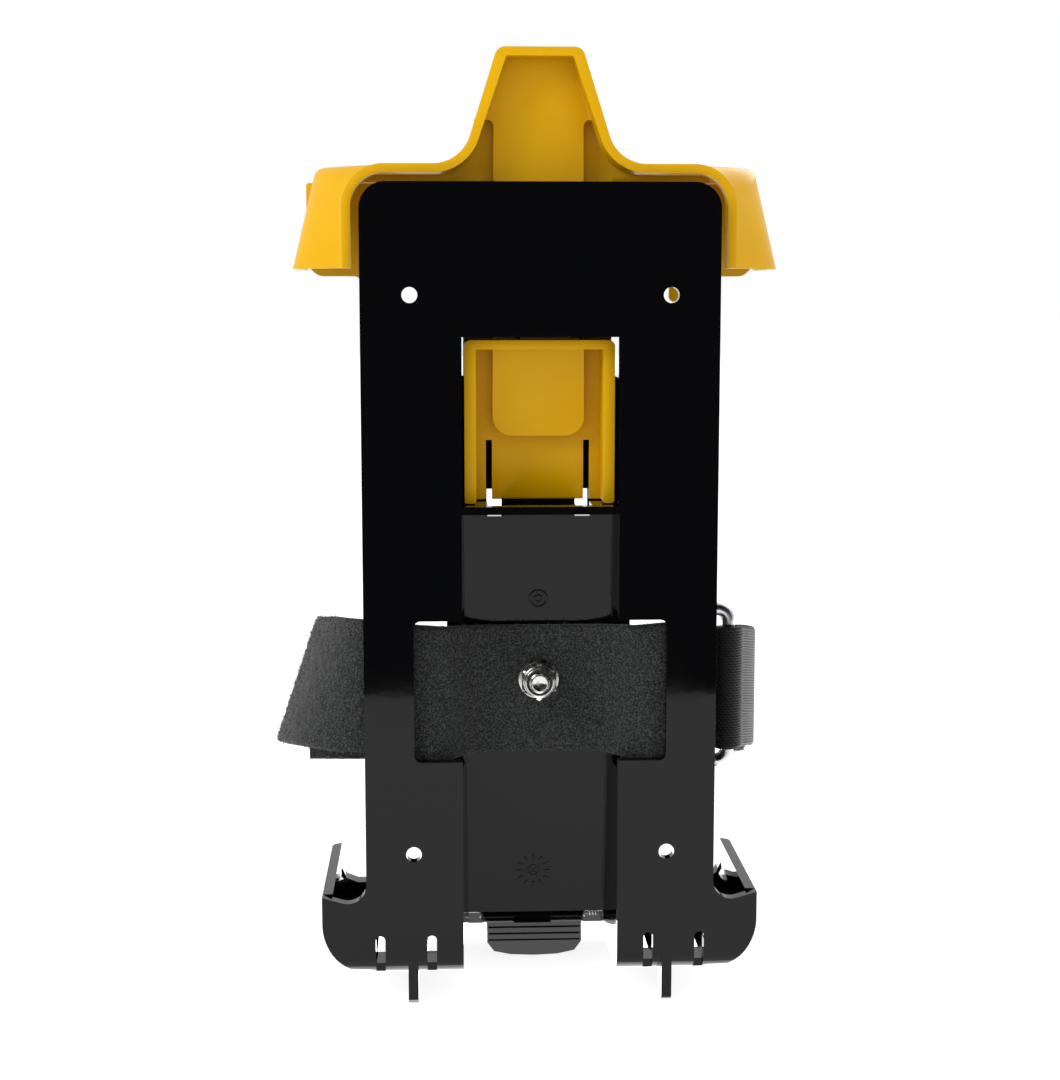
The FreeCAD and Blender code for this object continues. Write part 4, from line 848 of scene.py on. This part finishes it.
def crowned_pad(name, node, body, material, crown, flat_axis, sign):
    """A foam or rubber pad: rounded corners, soft edges and a slight crown on its free face."""
    low, high = box_mm(node)
    size = high - low
    axes = [axis for axis in range(3) if axis != flat_axis]
    counts = [max(8, round(size[axis] / 1.5)) for axis in axes]
    bm = bmesh.new()
    grids = []
    for face in (0, 1):
        grid = []
        for i in range(counts[0] + 1):
            line = []
            for j in range(counts[1] + 1):
                u = i / counts[0] * 2 - 1
                v = j / counts[1] * 2 - 1
                place = Vector((0, 0, 0))
                margin = 1 - min((1 - abs(u)) * size[axes[0]], (1 - abs(v)) * size[axes[1]], 1.6) / 1.6
                free = (face == 1) == (sign > 0)
                drop = (crown * max(u * u, v * v) + 0.5 * margin ** 3) if free else 0.25 * margin ** 3
                pull = 0.35 * margin ** 2
                place[axes[0]] = low[axes[0]] + size[axes[0]] * (i / counts[0]) - pull * math.copysign(1, u)
                place[axes[1]] = low[axes[1]] + size[axes[1]] * (j / counts[1]) - pull * math.copysign(1, v)
                place[flat_axis] = (high[flat_axis] - drop) if face else (low[flat_axis] + drop)
                line.append(bm.verts.new(place))
            grid.append(line)
        grids.append(grid)
    for grid in grids:
        for i in range(counts[0]):
            for j in range(counts[1]):
                bm.faces.new((grid[i][j], grid[i + 1][j], grid[i + 1][j + 1], grid[i][j + 1]))
    first, second = grids
    for i in range(counts[0]):
        for j in (0, counts[1]):
            bm.faces.new((first[i][j], first[i + 1][j], second[i + 1][j], second[i][j]))
    for j in range(counts[1]):
        for i in (0, counts[0]):
            bm.faces.new((first[i][j], first[i][j + 1], second[i][j + 1], second[i][j]))
    pad = new_object(name, bm, material)
    finish_mesh(pad, 60)
    stand_for(pad, body, node)
    return pad


# ---------------------------------------------------------------- marks in the channel floor

FLOOR_TOP, FLOOR_LOW = 18.7, -107.5
FLOOR_DEPTH, FLOOR_FALL = 12.0, 14.0


def floor_depth(level):
    """Depth of the slanting channel floor at a height."""
    return FLOOR_DEPTH + (FLOOR_TOP - level) / (FLOOR_TOP - FLOOR_LOW) * FLOOR_FALL


def floor_ring(bm, centre, radius, half_width, height):
    """A low rounded ridge along a circle on the channel floor."""
    steps = 48
    rows = []
    for step in range(steps + 1):
        angle = math.radians(360.0 * step / steps)
        row = []
        for across, lift in ((-1, -0.1), (-0.6, 0.8), (0, 1), (0.6, 0.8), (1, -0.1)):
            reach = radius + across * half_width
            x = centre[0] + reach * math.cos(angle)
            z = centre[1] + reach * math.sin(angle)
            row.append(bm.verts.new((x, floor_depth(z) - lift * height, z)))
        rows.append(row)
    for first, second in zip(rows, rows[1:]):
        for k in range(4):
            bm.faces.new((first[k], first[k + 1], second[k + 1], second[k]))


def floor_tick(bm, centre, angle, inner, outer, half_width, height):
    """A short raised bar that points away from the centre of a dial."""
    along = Vector((math.cos(angle), math.sin(angle)))
    side = Vector((-along.y, along.x))
    bottom, top = [], []
    for reach, shift in ((inner, -1), (outer, -1), (outer, 1), (inner, 1)):
        spot = Vector(centre) + along * reach + side * shift * half_width
        crown = Vector(centre) + along * (reach + (0.08 if reach == inner else -0.08)) \
            + side * shift * half_width * 0.6
        bottom.append(bm.verts.new((spot.x, floor_depth(spot.y) + 0.05, spot.y)))
        top.append(bm.verts.new((crown.x, floor_depth(crown.y) - height, crown.y)))
    bm.faces.new(top)
    bm.faces.new(bottom[::-1])
    for k in range(4):
        bm.faces.new((bottom[k], bottom[(k + 1) % 4], top[(k + 1) % 4], top[k]))


def make_marks():
    """An ejector ring near the top of the channel floor and a plain dial of ticks near its foot."""
    bm = bmesh.new()
    ejector = (0, -8)
    floor_ring(bm, ejector, 2.5, 0.42, 0.35)
    floor_ring(bm, ejector, 1.0, 0.4, 0.3)
    mark = new_object("ejector_mark", bm, BLACK)
    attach(mark, "cradle")
    bm = bmesh.new()
    dial = (-1, -94)
    floor_ring(bm, dial, 1.7, 0.3, 0.3)
    for step in range(12):
        floor_tick(bm, dial, TAU * step / 12, 3.6, 5.2, 0.36, 0.34)
    for step in range(4):
        floor_tick(bm, dial, TAU * (step + 0.5) / 4, 0.3, 1.3, 0.25, 0.28)
    clock = new_object("dial_mark", bm, BLACK)
    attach(clock, "cradle")


# ---------------------------------------------------------------- everything

BLACK = black_abs()
YELLOW = yellow_abs()
ZINC = steel("zinc_plated_steel", (0.62, 0.63, 0.66), 0.28, 0.15)
SPRING = steel("phosphated_spring_steel", (0.09, 0.09, 0.095), 0.4, 0.2)
STAINLESS = steel("stainless_turned", (0.66, 0.65, 0.63), 0.22, 1.0)
NYLON = nylon()
RUBBER = rubber("pad_rubber", (0.015, 0.015, 0.016), 900)
FOAM = rubber("pad_foam", (0.02, 0.02, 0.021), 500)
LOOP = loop_fabric()
WEBBING = webbing()
FIBRE = fibre()

make_camera()
make_stage()
softened_copy("cradle_body", "cradle_moulding", 0.35, BLACK, "cradle")
softened_copy("front_cover", "front_cover_moulding", 0.4, BLACK, "cradle")
softened_copy("release_lever", "release_lever_moulding", 0.3, BLACK, "lever")
make_head()
make_straps()
make_nut()
make_bolt()
make_washer()
make_cover_screws()
make_marks()
crowned_pad("rest_pad_foam", "rest_pad", "cradle", FOAM, 0.35, 1, 1)
crowned_pad("head_liner_foam", "head_liner", "head", FOAM, 0.3, 2, -1)
for side in ("left", "right"):
    crowned_pad(f"cup_liner_{side}_rubber", f"cup_liner_{side}", "cradle", RUBBER, 0.2, 2, 1)
crowned_pad("hook_patch_cloth", "hook_patch", "cradle", WEBBING, 0.05, 1, 1)

KEPT = {"head_spring_left": SPRING, "head_spring_right": SPRING, "lever_spring": SPRING,
        "spring_guide_pins": SPRING, "lever_pin": SPRING, "strap_ring": ZINC}
for node, material in KEPT.items():
    for holder in nodes[node].material_slots:
        holder.material = material
